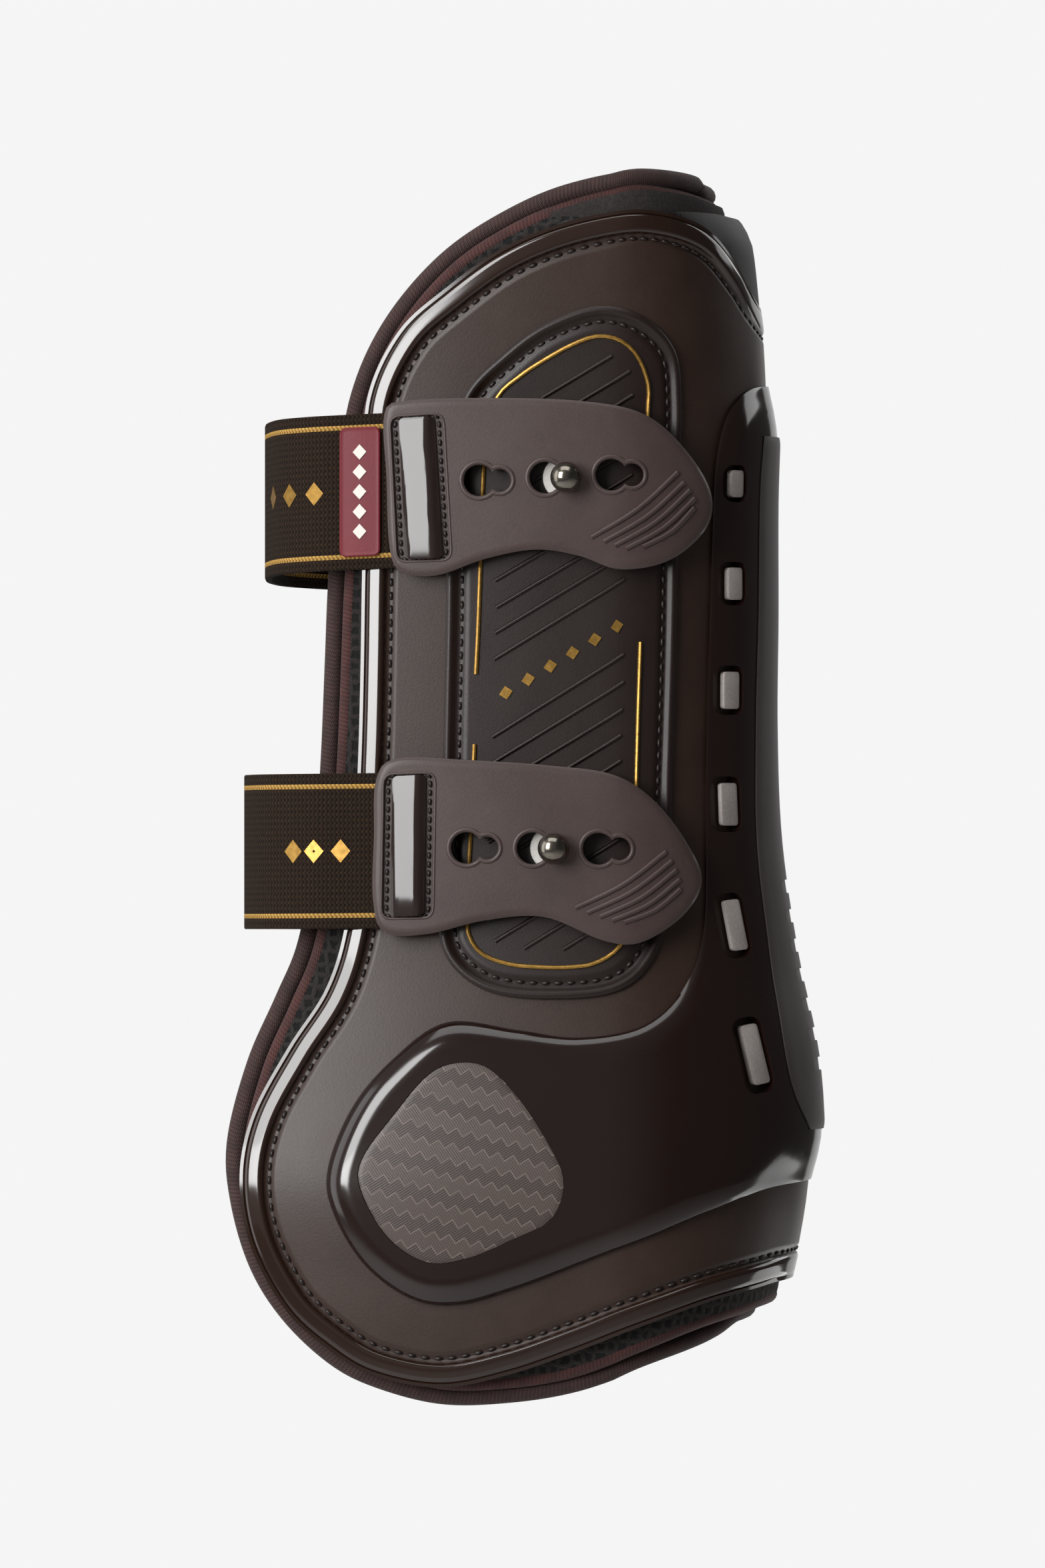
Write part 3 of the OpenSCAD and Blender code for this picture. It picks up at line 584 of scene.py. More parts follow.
def rounded(corners, radius, step=2.0):
    """A straight-sided closed outline with rounded corners."""
    points = []
    for i, corner in enumerate(corners):
        before, after = Vector(corners[i - 1]), Vector(corners[(i + 1) % len(corners)])
        corner = Vector(corner)
        start = corner + (before - corner).normalized() * radius
        stop = corner + (after - corner).normalized() * radius
        arc = [start.lerp(corner, t).lerp(corner.lerp(stop, t), t) for t in (0, 0.25, 0.5, 0.75, 1)]
        if points:
            gap = (arc[0] - points[-1]).length
            count = max(1, round(gap / step))
            points += [points[-1].lerp(arc[0], n / count) for n in range(1, count)]
        points += arc
    count = max(1, round((points[0] - points[-1]).length / step))
    return points + [points[-1].lerp(points[0], n / count) for n in range(1, count)]


def together(parts):
    """Several flat solids as one."""
    whole = bmesh.new()
    for part in parts:
        held = bpy.data.meshes.new("part")
        part.to_mesh(held)
        part.free()
        whole.from_mesh(held)
        bpy.data.meshes.remove(held)
    return whole


def less(bm, cutters):
    """A flat solid with other solids cut out of it."""
    holders = []
    for shape in (bm, together(cutters)):
        mesh = bpy.data.meshes.new("cut")
        shape.to_mesh(mesh)
        shape.free()
        holder = bpy.data.objects.new("cut", mesh)
        bpy.context.collection.objects.link(holder)
        holders.append(holder)
    cut = holders[0].modifiers.new("cut", "BOOLEAN")
    cut.operation, cut.solver, cut.object = "DIFFERENCE", "EXACT", holders[1]
    made = bmesh.new()
    made.from_object(holders[0], bpy.context.evaluated_depsgraph_get())
    for holder in holders:
        bpy.data.objects.remove(holder)
    return made


def mirrored(outline):
    """An outline's copy on the far half of the pattern, still clockwise."""
    return [Vector((2 * middle - p.x, p.y)) for p in reversed(outline)]


pad_outline = drawn(lay(pad_half, guard_front), 1.8, closed=True)
slots = [rounded_box(pattern_q(x, z, guard_front), z, w, h, tilt, 2.6) for x, z, w, h, tilt in vents]
cutters = []
for outline in (pad_outline, mirrored(pad_outline)):
    cutters.append(prism(outline, guard_front - tray_depth, guard_front + 1))
for outline in slots + [mirrored(s) for s in slots]:
    cutters.append(prism(outline, guard_back - 1, guard_front + 1))
bm = blank(both_sides(drawn(lay(guard_half, guard_front), 1.8)), guard_edge, guard_back)
bm = less(bm, cutters)
crease_lines(bm, 3.0, 3.0)
# a harder grade of TPU from a polished mould: almost black, with wide clear reflections
guard_tpu = polished_tpu("TPU, polished hard moulding", "#20120e", roughness=0.12, ripple=0.04)
piece("guard_moulding", bm, "boot", [guard_tpu], ["tendon_guard"], relief=guard_shape)

# ---------------------------------------------------------------------------
# Fetlock pads
# Carbon-look woven inserts pressed into the trays of the guard, one each side.
# ---------------------------------------------------------------------------
tow = 2.35           # mm, width of one woven ribbon of yarn
weave_turn = -33.0   # degrees from the row direction to the ribbons
# polyester twill pressed under a satin coat: ribbons of straight fibres that step
# over one another in slanting zigzag bands, dark and light by turns as painted sheen,
# with painted highlights along the ribbons' edges
woven, shader = new_finish("carbon-look twill, pressed", Roughness=0.42)
uv = add(woven, "UVMap").outputs[0]
laid = add(woven, "Mapping", {
    "Vector": uv, "Rotation": (0, 0, math.radians(weave_turn)), "Scale": (1 / tow,) * 3})
split = add(woven, "SeparateXYZ", {0: laid.outputs[0]})
across, down = split.outputs[0], split.outputs[1]
column = add(woven, "Math", {0: across}, operation="FLOOR").outputs[0]
row = add(woven, "Math", {0: down}, operation="FLOOR").outputs[0]
shift = add(woven, "Math", {0: column, 1: row}, operation="ADD").outputs[0]
turn = add(woven, "Math", {0: shift, 1: 4.0}, operation="FLOORED_MODULO").outputs[0]
over = add(woven, "Math", {0: turn, 1: 1.5}, operation="LESS_THAN").outputs[0]
odd = add(woven, "Math", {0: shift, 1: 2.0}, operation="FLOORED_MODULO").outputs[0]
in_a = add(woven, "Math", {0: across, 1: 1.0}, operation="FLOORED_MODULO").outputs[0]
in_b = add(woven, "Math", {0: down, 1: 1.0}, operation="FLOORED_MODULO").outputs[0]
far_side = add(woven, "Math", {0: in_a, 1: in_b}, operation="MAXIMUM").outputs[0]
far_side = add(woven, "Math", {0: 1.0, 1: far_side}, operation="SUBTRACT").outputs[0]
near_side = add(woven, "Math", {0: in_a, 1: in_b}, operation="MINIMUM").outputs[0]
to_edge = add(woven, "Mix", {"Factor": odd, "A": near_side, "B": far_side}).outputs[0]
# painted highlight: a thin bright line along the edges of the ribbons
painted_edge_highlight = add(woven, "Math", {0: to_edge, 1: 0.05}, operation="LESS_THAN").outputs[0]
fibre = add(woven, "Mix", {"Factor": over, "A": down, "B": across}).outputs[0]
fibre = add(woven, "Math", {0: fibre, 1: 2 * math.pi * tow / 0.5}, operation="MULTIPLY").outputs[0]
fibre = add(woven, "Math", {0: fibre}, operation="SINE").outputs[0]
fibre = add(woven, "MapRange", {0: fibre, 1: -1.0, 2: 1.0}).outputs[0]
speck = add(woven, "TexNoise", {"Vector": uv, "Scale": 3.0, "Detail": 3.0}).outputs[0]
# painted sheen: ribbons lying one way are painted lighter than those lying the other way
painted_sheen_tone = add(woven, "Mix", {"Factor": over, "A": 0.04, "B": 0.15}).outputs[0]
tone = add(woven, "Math", {0: fibre, 1: 0.2, 2: painted_sheen_tone}, operation="MULTIPLY_ADD").outputs[0]
tone = add(woven, "Math", {0: speck, 1: 0.15, 2: tone}, operation="MULTIPLY_ADD").outputs[0]
tone = add(woven, "Math", {0: painted_edge_highlight, 1: 0.42, 2: tone}, operation="MULTIPLY_ADD").outputs[0]
colour = add(woven, "MixRGB", {0: tone, 1: linear("#231916"), 2: linear("#80726c")}).outputs[0]
woven.node_tree.links.new(colour, shader.inputs["Base Color"])
bump = add(woven, "Bump", {"Height": tone, "Strength": 0.4, "Distance": 0.2 * mm}).outputs[0]
woven.node_tree.links.new(bump, shader.inputs["Normal"])

pad_edge = [(0, 2.35), (0.25, 2.58), (0.7, 2.66), (1.4, 2.68)]
for side, place, node in (("near", wrap, "near_fetlock_pad"), ("far", far_wrap, "far_fetlock_pad")):
    bm = blank(drawn_in(pad_outline, 0.1), pad_edge, guard_front - tray_depth + 0.05)
    crease_lines(bm, 3.0, 3.0)
    if side == "far":
        bmesh.ops.reverse_faces(bm, faces=bm.faces[:])
    piece(side + "_woven_pad", bm, "boot", [woven], [node], place=place, relief=dome)

# ---------------------------------------------------------------------------
# Vent louvres
# Small satin blocks moulded on the shell inside the guard's slots; each fills
# the back two thirds of its slot and leaves a dark opening at the front.
# ---------------------------------------------------------------------------
# the same TPU with a coarse spark-eroded grain and speckle, painted pale grey as a painted highlight where
# the light catches the louvres
louvre_tpu_painted_light = satin_tpu("TPU, coarse-grained moulding, painted highlight", "#5d5653", "#cfc6c1", roughness=0.5, grain=0.55)
louvre_edge = [(0, 1.5), (0.25, 2.0), (0.6, 2.15)]
for side, place in (("near", wrap), ("far", far_wrap)):
    blocks = []
    for x, z, w, h, tilt in vents:
        outline = rounded_box(0.14 * w, 0, 0.58 * w, 0.84 * h - 0.9, 0, 0.8)
        block = blank(outline, louvre_edge, 0.55)
        bmesh.ops.rotate(block, verts=block.verts[:], matrix=Matrix.Rotation(math.radians(-tilt), 3, "Y"))
        bmesh.ops.translate(block, verts=block.verts[:], vec=(pattern_q(x, z, guard_front), 0, z))
        if side == "far":
            bmesh.ops.reverse_faces(block, faces=block.faces[:])
        blocks.append(block)
    piece(
        # the louvres' pale colour is a painted highlight, not a lighter plastic
        side + "_louvres", together(blocks), "boot", [louvre_tpu_painted_light], [side + "_vents"],
        place=place, relief=lambda q, z, d: 0.6 * guard_shape(q, z, d))

# ---------------------------------------------------------------------------
# Spine strip
# Satin TPU strip welded down the middle of the back, with sloping ends and a
# row of shallow moulded bars; the guard shows as a polished flank beside it.
# ---------------------------------------------------------------------------
spine_z = [60.5, 68, 77, 91, 105, 118, 130, 143, 158, 176, 194, 206, 215]
spine_w = [14, 19.7, 22, 21.8, 21.2, 21.2, 20.8, 20, 19.4, 18.7, 18.2, 17.7, 16.5]
spine_back, spine_front = guard_front + 0.03, 3.3
spine_edge = [(0, 2.8), (0.5, 3.05), (1.4, 3.22), (2.4, spine_front), (3.4, spine_front)]
near_edge = drawn([Vector((middle - w, z)) for w, z in zip(spine_w, spine_z)], 3.0)
spine_outline = near_edge + mirrored(near_edge)
marks = []
for n in range(7):
    outline = rounded_box(middle, 75.0 + 6.6 * n, 21.0, 3.0, 0, 1.2)
    marks.append(prism(outline, spine_front - 0.45, spine_front + 1))
bm = less(blank(spine_outline, spine_edge, spine_back), marks)
crease_lines(bm, 3.0, 4.0)
# satin TPU, a little greyer than the shell, so that the back reads as a softer stripe
spine_tpu = satin_tpu("TPU, satin moulding", "#332c2b", "#4d4645", roughness=0.5, grain=0.5)
piece("spine_moulding", bm, "boot", [spine_tpu], ["spine_strip"])

# ---------------------------------------------------------------------------
# Stud panel
# A thin reinforcing panel welded on the near side under the studs: a rounded
# lip round it, a sewn line inside the lip, and slanting ribs.
# ---------------------------------------------------------------------------
panel_base, panel_face = 0.05, 0.75
panel_half = [
    (5, 243.2), (15, 240.6), (21.6, 233.4), (23, 222), (22.6, 208), (22.1, 185), (21.6, 162),
    (21, 142), (20.5, 122), (19, 103.5), (10.6, 92.4), (-5, 90), (-20.4, 92), (-29.4, 100.5),
    (-30.2, 115), (-29.6, 135), (-29.2, 155), (-28.8, 175), (-28.6, 195), (-27.8, 212), (-24.4, 224.2),
    (-16, 232.8), (-7, 239.2)]
panel_edge = [
    (0, 0.1), (0.25, 0.8), (0.8, 1.3), (1.4, 1.4), (2.0, 1.1), (2.5, 0.45), (3.1, 0.2), (3.8, 0.2),
    (4.4, 0.45), (5.0, panel_face), (5.8, panel_face)]
# darker TPU with a finer grain than the field's, so it looks deeper and more even
panel_tpu = satin_tpu("TPU, fine-grained moulding", "#150d0b", "#291c18", roughness=0.4, grain=0.4)
panel_outline = drawn(lay(panel_half), 1.8, closed=True)
bm = blank(panel_outline, panel_edge, panel_base)
crease_lines(bm, 3.5, 5.0)
piece("panel_moulding", bm, "boot", [panel_tpu], ["stud_panel"])
seam_in, seam_level = 3.5, 0.35
sewn = stitches(drawn_in(panel_outline, seam_in)[::2], seam_level, pitch=2.8, length=1.1, radius=0.36)
piece("panel_stitches", sewn, "boot", [thread], sharp=180)

ribs = [  # the two ends of each rib, as x and z
    ((-7.5, 222.9), (7.9, 232.2)), ((-12.5, 214.2), (11.7, 228.8)), ((-14.5, 207.3), (12.4, 223.6)),
    ((-15.5, 200.8), (12.6, 217.8)), ((-16.5, 194.4), (12.6, 212.0)), ((-17.3, 188.2), (12.2, 206.0)),
    ((-17.9, 182.5), (12.0, 200.5)), ((-17.6, 176.6), (11.8, 194.4)), ((-17.9, 170.9), (11.2, 188.8)),
    ((-18.1, 165.1), (10.6, 182.9)), ((-18.5, 147.9), (10.4, 166.2)), ((-18.7, 142.0), (10.4, 160.1)),
    ((-18.9, 136.2), (10.1, 154.0)), ((-19.2, 130.4), (9.8, 148.3)), ((-19.4, 124.6), (9.8, 142.7)),
    ((-19.6, 118.8), (9.7, 136.9)), ((-19.8, 113.0), (9.6, 131.1)), ((-19.9, 107.2), (9.5, 125.3)),
    ((-17.9, 102.7), (9.2, 119.4)), ((-11.5, 101.1), (8.6, 113.6)), ((-2.9, 100.9), (6.6, 106.8))]
rib_beads = []
for low, high in ribs:
    line = drawn(lay([low, high]), 4.0)
    rib_beads.append(bead([(p.x, panel_face, p.y) for p in line], 0.5, closed=False, rounds=2, squash=1.1))
piece("panel_ribs", together(rib_beads), "boot", [panel_tpu], sharp=180)

# ---------------------------------------------------------------------------
# Gold trim
# A narrow cord of gold-foiled TPU inlaid round the panel in two lengths, and
# a row of plain gold lozenges on the slant through the gaps between them.
# ---------------------------------------------------------------------------
# brass-coloured foil pressed into the plastic: bright where it faces the light, rubbed and
# uneven elsewhere
gold, shader = new_finish("gold foil, hot-stamped", Metallic=0.85, Roughness=0.34)
at = add(gold, "TexCoord").outputs["Object"]
rub = add(gold, "TexNoise", {"Vector": at, "Scale": 900.0, "Detail": 3.0}).outputs[0]
colour = add(gold, "MixRGB", {0: rub, 1: linear("#7c5a26"), 2: linear("#cfa355")}).outputs[0]
gold.node_tree.links.new(colour, shader.inputs["Base Color"])
bump = add(gold, "Bump", {"Height": rub, "Strength": 0.3, "Distance": 0.05 * mm}).outputs[0]
gold.node_tree.links.new(bump, shader.inputs["Normal"])
trims = [
    [(-22.1, 161.8), (-21.6, 172), (-21.1, 186.5), (-20.5, 205), (-19.8, 214), (-17.4, 222.9), (-12.5, 227.6),
     (-6.6, 231.5), (-0.5, 234.8), (4.7, 236.5), (9.6, 235.6), (13.3, 232.2), (15.7, 225.8), (15.6, 219.5),
     (15.2, 200), (14.8, 190)],
    [(14, 168.9), (13.5, 153), (13.1, 137), (12.9, 122), (12.4, 110), (9.7, 101.8),
     (4.2, 97.9), (-1.8, 97), (-7.7, 97), (-14.5, 97.6), (-20.4, 99.7), (-23.3, 103.2), (-24.1, 108),
     (-23.7, 118), (-23, 132), (-22.4, 146.3)]]
parts = []
for line in trims:
    path = [(p.x, panel_face + 0.2, p.y) for p in drawn(lay(line), 2.0)]
    parts.append(bead(path, 0.5, closed=False, rounds=2))
lozenge = [(-1.5, 0.1), (-0.2, 2.0), (1.5, 0.9), (0.2, -1.0)]
lozenge_step = 4.9
for n in range(6):
    x = -15.5 + lozenge_step * n
    z = 157.2 + 0.6 * lozenge_step * n
    outline = [Vector((pattern_q(x, z) + dx, z + dz)) for dx, dz in lozenge]
    parts.append(blank(outline, [(0, 0.85), (0.2, 1.05)], 0.4))
piece("gold_cord", together(parts), "boot", [gold], ["gold_trim"])

# ---------------------------------------------------------------------------
# Top collar
# A soft rubber insert moulded behind the top rim at the back, so that the
# boot gives a little over the tendon.
# ---------------------------------------------------------------------------
# soft moulded rubber: neutral black beside the brown plastic, and duller
rubber = satin_tpu("rubber, moulded", "#0d0a0a", "#1b1615", roughness=0.62, grain=0.35)
collar_half = [
    (68, 243.0, 1), (60, 244.4, 1), (53, 247.6, 1), (36.2, 252.0), (28.6, 260.6), (24.6, 263.0),
    (24.4, 264.3), (33.2, 264.3), (54, 263.8, 1), (68, 263.6, 1)]
bm = blank(both_sides(drawn(lay(collar_half), 1.8)), [(0, -0.9), (0.5, -0.35), (1.2, -0.25)], -2.6)
crease_lines(bm, 3.0, 3.0)


def leaning_in(q, z, d):
    """The collar's top edge curves in over the tendon."""
    return -2.4 * max(0.0, (z - 256.5) / 7.5) ** 2


piece("rubber_collar", bm, "boot", [rubber], ["top_collar"], relief=leaning_in)

# ---------------------------------------------------------------------------
# Studs and washers
# Turned, dark nickel-plated ball studs riveted through white nylon washers;
# the straps' keyholes snap over them.
# ---------------------------------------------------------------------------
# black nickel over turned brass: a dark warm mirror with faint turning marks
nickel, shader = new_finish("nickel plate, polished", Metallic=1.0, Roughness=0.16)
at = add(nickel, "TexCoord").outputs["Object"]
turning = add(nickel, "TexNoise", {"Vector": at, "Scale": 500.0, "Detail": 3.0}).outputs[0]
colour = add(nickel, "MixRGB", {0: turning, 1: linear("#6b6660"), 2: linear("#a0998d")}).outputs[0]
nickel.node_tree.links.new(colour, shader.inputs["Base Color"])
dull = add(nickel, "MapRange", {0: turning, 3: 0.12, 4: 0.26}).outputs[0]
nickel.node_tree.links.new(dull, shader.inputs["Roughness"])
# natural nylon: off-white with a dull shine and small scuffs
nylon, shader = new_finish("nylon, moulded white", Roughness=0.4)
at = add(nylon, "TexCoord").outputs["Object"]
scuff = add(nylon, "TexNoise", {"Vector": at, "Scale": 1200.0, "Detail": 3.0}).outputs[0]
colour = add(nylon, "MixRGB", {0: scuff, 1: linear("#d9d4cd"), 2: linear("#fbf9f5")}).outputs[0]
nylon.node_tree.links.new(colour, shader.inputs["Base Color"])

stud_profile = [
    (0.0, 1.25), (2.5, 1.25), (2.65, 1.4), (2.65, 2.0), (2.5, 2.15), (1.9, 2.2), (1.75, 2.5), (1.75, 6.3),
    (2.1, 6.75), (2.75, 7.25), (3.2, 8.1), (3.38, 9.1), (3.3, 10.1), (2.9, 11.1), (2.2, 11.95), (1.3, 12.45),
    (0.5, 12.62), (0.0, 12.62)]
washer_profile = [
    (2.95, 1.4), (3.05, 1.35), (4.8, 1.35), (5.0, 1.5), (5.0, 1.8), (4.8, 2.0), (3.1, 2.05), (2.95, 1.95)]


def turned(profile, x, z, closed=False):
    """A profile of (radius, height) turned about an axis that stands out from the near side at x, z."""
    bm = bmesh.new()
    verts = [bm.verts.new((r, 0, h)) for r, h in profile]
    pairs = list(zip(verts, verts[1:])) + ([(verts[-1], verts[0])] if closed else [])
    edges = [bm.edges.new(pair) for pair in pairs]
    bmesh.ops.spin(
        bm, geom=verts + edges, cent=(0, 0, 0), axis=(0, 0, 1), angle=2 * math.pi, steps=40, use_merge=True)
    bmesh.ops.remove_doubles(bm, verts=bm.verts[:], dist=1e-4)
    bmesh.ops.recalc_face_normals(bm, faces=bm.faces[:])
    foot = wrap(x, z, 0.0)
    stand = Matrix.Translation((x * mm, foot.y, z * mm))
    out = stand @ Matrix.Rotation(math.radians(90), 4, "X") @ Matrix.Scale(mm, 4)
    bmesh.ops.transform(bm, matrix=out, verts=bm.verts[:])
    return bm


def as_made(q, z, d):
    """A shape that is already in place."""
    return Vector((q, -d, z))


balls = {"upper": (-2.4, 205.2), "lower": (-5.2, 123.3)}
for name, (x, z) in balls.items():
    stud = turned(stud_profile, x, z)
    piece(name + "_ball_stud", stud, "boot", [nickel], [name + "_stud"], place=as_made)
    washer = turned(washer_profile, x, z, closed=True)
    piece(name + "_stud_washer", washer, "boot", [nylon], [name + "_washer"], place=as_made)

# ---------------------------------------------------------------------------
# Elastic straps
# Wide knitted elastic with a gold line near each edge. It is sewn down on the
# far side, runs round the open front of the boot and is sewn to its tab.
# ---------------------------------------------------------------------------
strap_wide, strap_thick = 34.4, 1.5
hinge_q, strap_level = -50.0, 1.6
gold_line_at, gold_line_half = strap_wide / 2 - 2.9, 0.5
hinge_level = strap_level + strap_thick / 2
# each strap's height, its drop to the far side, and how far it stands in front of the leg's axis
straps = {"upper": (203.0, 4.5, 69.0), "lower": (122.9, 1.2, 73.6)}

# polyester-covered rubber webbing: dry and nearly black, with rows of small loops and
# two lines of gilt yarn
elastic, shader = new_finish("elastic webbing, knitted", Roughness=0.9, Specular_IOR_Level=0.2)
uv = add(elastic, "UVMap").outputs[0]
split = add(elastic, "SeparateXYZ", {0: uv})
run, rise = split.outputs[0], split.outputs[1]
rib_pitch, course_pitch = 1.3, 0.95     # mm
ribs_across = add(elastic, "Math", {0: rise, 1: 2 * math.pi / rib_pitch}, operation="MULTIPLY").outputs[0]
ribs_across = add(elastic, "Math", {0: ribs_across}, operation="SINE").outputs[0]
offset = add(elastic, "Math", {0: ribs_across, 1: 1.5}, operation="MULTIPLY").outputs[0]
courses = add(elastic, "Math", {
    0: run, 1: 2 * math.pi / course_pitch, 2: offset}, operation="MULTIPLY_ADD").outputs[0]
courses = add(elastic, "Math", {0: courses}, operation="SINE").outputs[0]
weave = add(elastic, "Math", {0: ribs_across, 1: 0.4, 2: courses}, operation="MULTIPLY_ADD").outputs[0]
weave = add(elastic, "MapRange", {0: weave, 1: -1.4, 2: 1.4}).outputs[0]
fuzz = add(elastic, "TexNoise", {"Vector": uv, "Scale": 1.1, "Detail": 5.0, "Roughness": 0.7}).outputs[0]
tone = add(elastic, "Math", {0: weave, 1: fuzz}, operation="MULTIPLY").outputs[0]
tone = add(elastic, "Math", {0: tone, 1: 1.7}, operation="MULTIPLY").outputs[0]
cloth = add(elastic, "MixRGB", {0: tone, 1: linear("#0c0603"), 2: linear("#34261b")}).outputs[0]
from_edge = add(elastic, "Math", {0: rise}, operation="ABSOLUTE").outputs[0]
from_line = add(elastic, "Math", {0: from_edge, 1: gold_line_at}, operation="SUBTRACT").outputs[0]
from_line = add(elastic, "Math", {0: from_line}, operation="ABSOLUTE").outputs[0]
gold_yarn = add(elastic, "Math", {0: from_line, 1: gold_line_half}, operation="LESS_THAN").outputs[0]
yarn = add(elastic, "MixRGB", {0: weave, 1: linear("#6b4c22"), 2: linear("#c9a055")}).outputs[0]
colour = add(elastic, "MixRGB", {0: gold_yarn, 1: cloth, 2: yarn}).outputs[0]
elastic.node_tree.links.new(colour, shader.inputs["Base Color"])
bump = add(elastic, "Bump", {"Height": weave, "Strength": 0.6, "Distance": 0.3 * mm}).outputs[0]
elastic.node_tree.links.new(bump, shader.inputs["Normal"])

hinge_at = wrap(hinge_q, 160, hinge_level) / mm


def strap_plan(reach):
    """A strap's loop in plan, from the far hinge round the front, with a point each millimetre."""
    loop = [
        (hinge_at.x, -hinge_at.y), (-0.4 * reach - 29.9, 32.4), (-0.8 * reach - 9.6, 25.2),
        (0.9 - reach, 13)]
    points = [Vector(p) for p in loop]
    points.append(Vector((0.15 - reach, 0)))
    points += [Vector((p.x, -p.y)) for p in reversed(points[:4])]
    for q in (-43, -35, -28):
        spot = wrap(q, 160, hinge_level) / mm
        points.append(Vector((spot.x, spot.y)))
    return drawn(points, 1.0)


def strap_place(name):
    """Where a point of a strap lies: u along it from the far side, v across it, d out from its middle."""
    height, drop, reach = straps[name]
    plan = strap_plan(reach)
    length = len(plan) - 1

    def place(u, v, d):
        k = max(0, min(int(u), length - 1))
        spot = plan[k].lerp(plan[k + 1], u - k)
        ahead = (plan[min(k + 2, length)] - plan[max(k - 1, 0)]).normalized()
        level = height - drop * (1 - u / length)
        return Vector((spot.x + ahead.y * d, spot.y - ahead.x * d, level + v)) * mm

    return place


def strap_run(name, x):
    """How far along a strap's near side the point at x lies."""
    plan = strap_plan(straps[name][2])
    return max(k for k, p in enumerate(plan) if p.x < x)


def band(u0, u1, half, edge, back, corner=1.6):
    """A flat strip of a strap from u0 to u1."""
    outline = rounded([(u0, -half), (u0, half), (u1, half), (u1, -half)], corner)
    bm = blank(outline, edge, back)
    crease_lines(bm, 2.0, 6.0)
    return bm


strap_edge = [(0, 0.25), (0.3, 0.6), (0.7, strap_thick / 2), (1.3, strap_thick / 2)]
for name in straps:
    length = len(strap_plan(straps[name][2])) - 1
    bm = band(0, length, strap_wide / 2, strap_edge, -strap_thick / 2)
    webbing = piece(name + "_elastic_band", bm, name + "_strap", [elastic], [name + "_elastic"],
                    place=strap_place(name))

for name, xs in (("upper", (-66.5, -62.5, -57.5)), ("lower", (-61.5, -57.0, -51.8))):
    marks = []
    for x in xs:
        u = strap_run(name, x)
        outline = [Vector((u + du, dv)) for du, dv in ((-2.2, 0), (0, 2.6), (2.2, 0), (0, -2.6))]
        marks.append(blank(outline, [(0, 0.8), (0.2, 0.9)], 0.6))
    piece(name + "_strap_lozenges", together(marks), name + "_strap", [gold],
          place=strap_place(name))

# ---------------------------------------------------------------------------
# Strap anchors
# The far end of each elastic, folded under and sewn down with a box stitch.
# ---------------------------------------------------------------------------
for name, (height, drop, reach) in straps.items():
    level = height - drop
    half = strap_wide / 2
    outline = rounded([(-48.5, -half), (-48.5, half), (-19.5, half), (-19.5, -half)], 1.6)
    bm = blank(outline, [(0, 1.0), (0.4, 2.4), (0.9, 2.9), (1.5, 2.9)], 0.6)
    crease_lines(bm, 3.0, 6.0)

    def anchor_place(q, v, d, level=level):
        return far_wrap(q, level + v, d)

    bmesh.ops.reverse_faces(bm, faces=bm.faces[:])
    piece(name + "_sewn_anchor", bm, "boot", [elastic], [name + "_anchor"], place=anchor_place)
    box = [Vector(p) for p in ((-46, -14.5), (-46, 14.5), (-22.5, 14.5), (-22.5, -14.5))]
    runs = [[a, b] for a, b in zip(box, box[1:] + box[:1])] + [[box[0], box[2]], [box[1], box[3]]]
    sewn = [stitches(run, 2.95, pitch=2.6, length=0.9, closed=False) for run in runs]
    piece(name + "_anchor_stitches", together(sewn), "boot", [thread],
          place=anchor_place, sharp=180)

# ---------------------------------------------------------------------------
# Red label
# A small moulded rubber label sewn on the upper elastic, with a plain row of
# pale raised lozenges.
# ---------------------------------------------------------------------------
# moulded silicone rubber, matt: a deep red ground and an off-white inlay of the same kind
red_rubber = satin_tpu("rubber, red moulded", "#5c0b18", "#7c1526", roughness=0.5, grain=0.4)
ivory = satin_tpu("rubber, ivory moulded", "#d8d2ca", "#f2ede6", roughness=0.5, grain=0.4)
label_from, label_to = strap_run("upper", -51.6), strap_run("upper", -42.5)
label_half = 14.3
label_edge = [(0, 1.1), (0.2, 1.6), (0.5, 1.78), (0.8, 1.72), (1.3, 1.72)]
bm = band(label_from, label_to, label_half, label_edge, strap_thick / 2 + 0.05)
piece("red_label", bm, "upper_strap", [red_rubber], ["upper_label"], place=strap_place("upper"))
motif = []
label_mid = (label_from + label_to) / 2
for n in range(5):
    v = -8.8 + 4.4 * n
    outline = [Vector((label_mid + du, v + dv)) for du, dv in ((-1.5, 0), (0, 1.7), (1.5, 0), (0, -1.7))]
    motif.append(blank(outline, [(0, strap_thick / 2 + 1.0), (0.15, strap_thick / 2 + 1.2)],
                       strap_thick / 2 + 0.7))
piece("label_lozenges", together(motif), "upper_strap", [ivory], place=strap_place("upper"))

# ---------------------------------------------------------------------------
# Tabs
# The moulded TPU end of each strap, with three keyholes, a framed window
# over the sewn end of the elastic, and curved grip ribs at its tip.
# ---------------------------------------------------------------------------
tab_level, tab_thick = 3.6, 2.2
tab_face = tab_level + tab_thick
key_radius, slot_radius, key_step, key_pitch = 3.5, 2.5, 4.5, 14.6
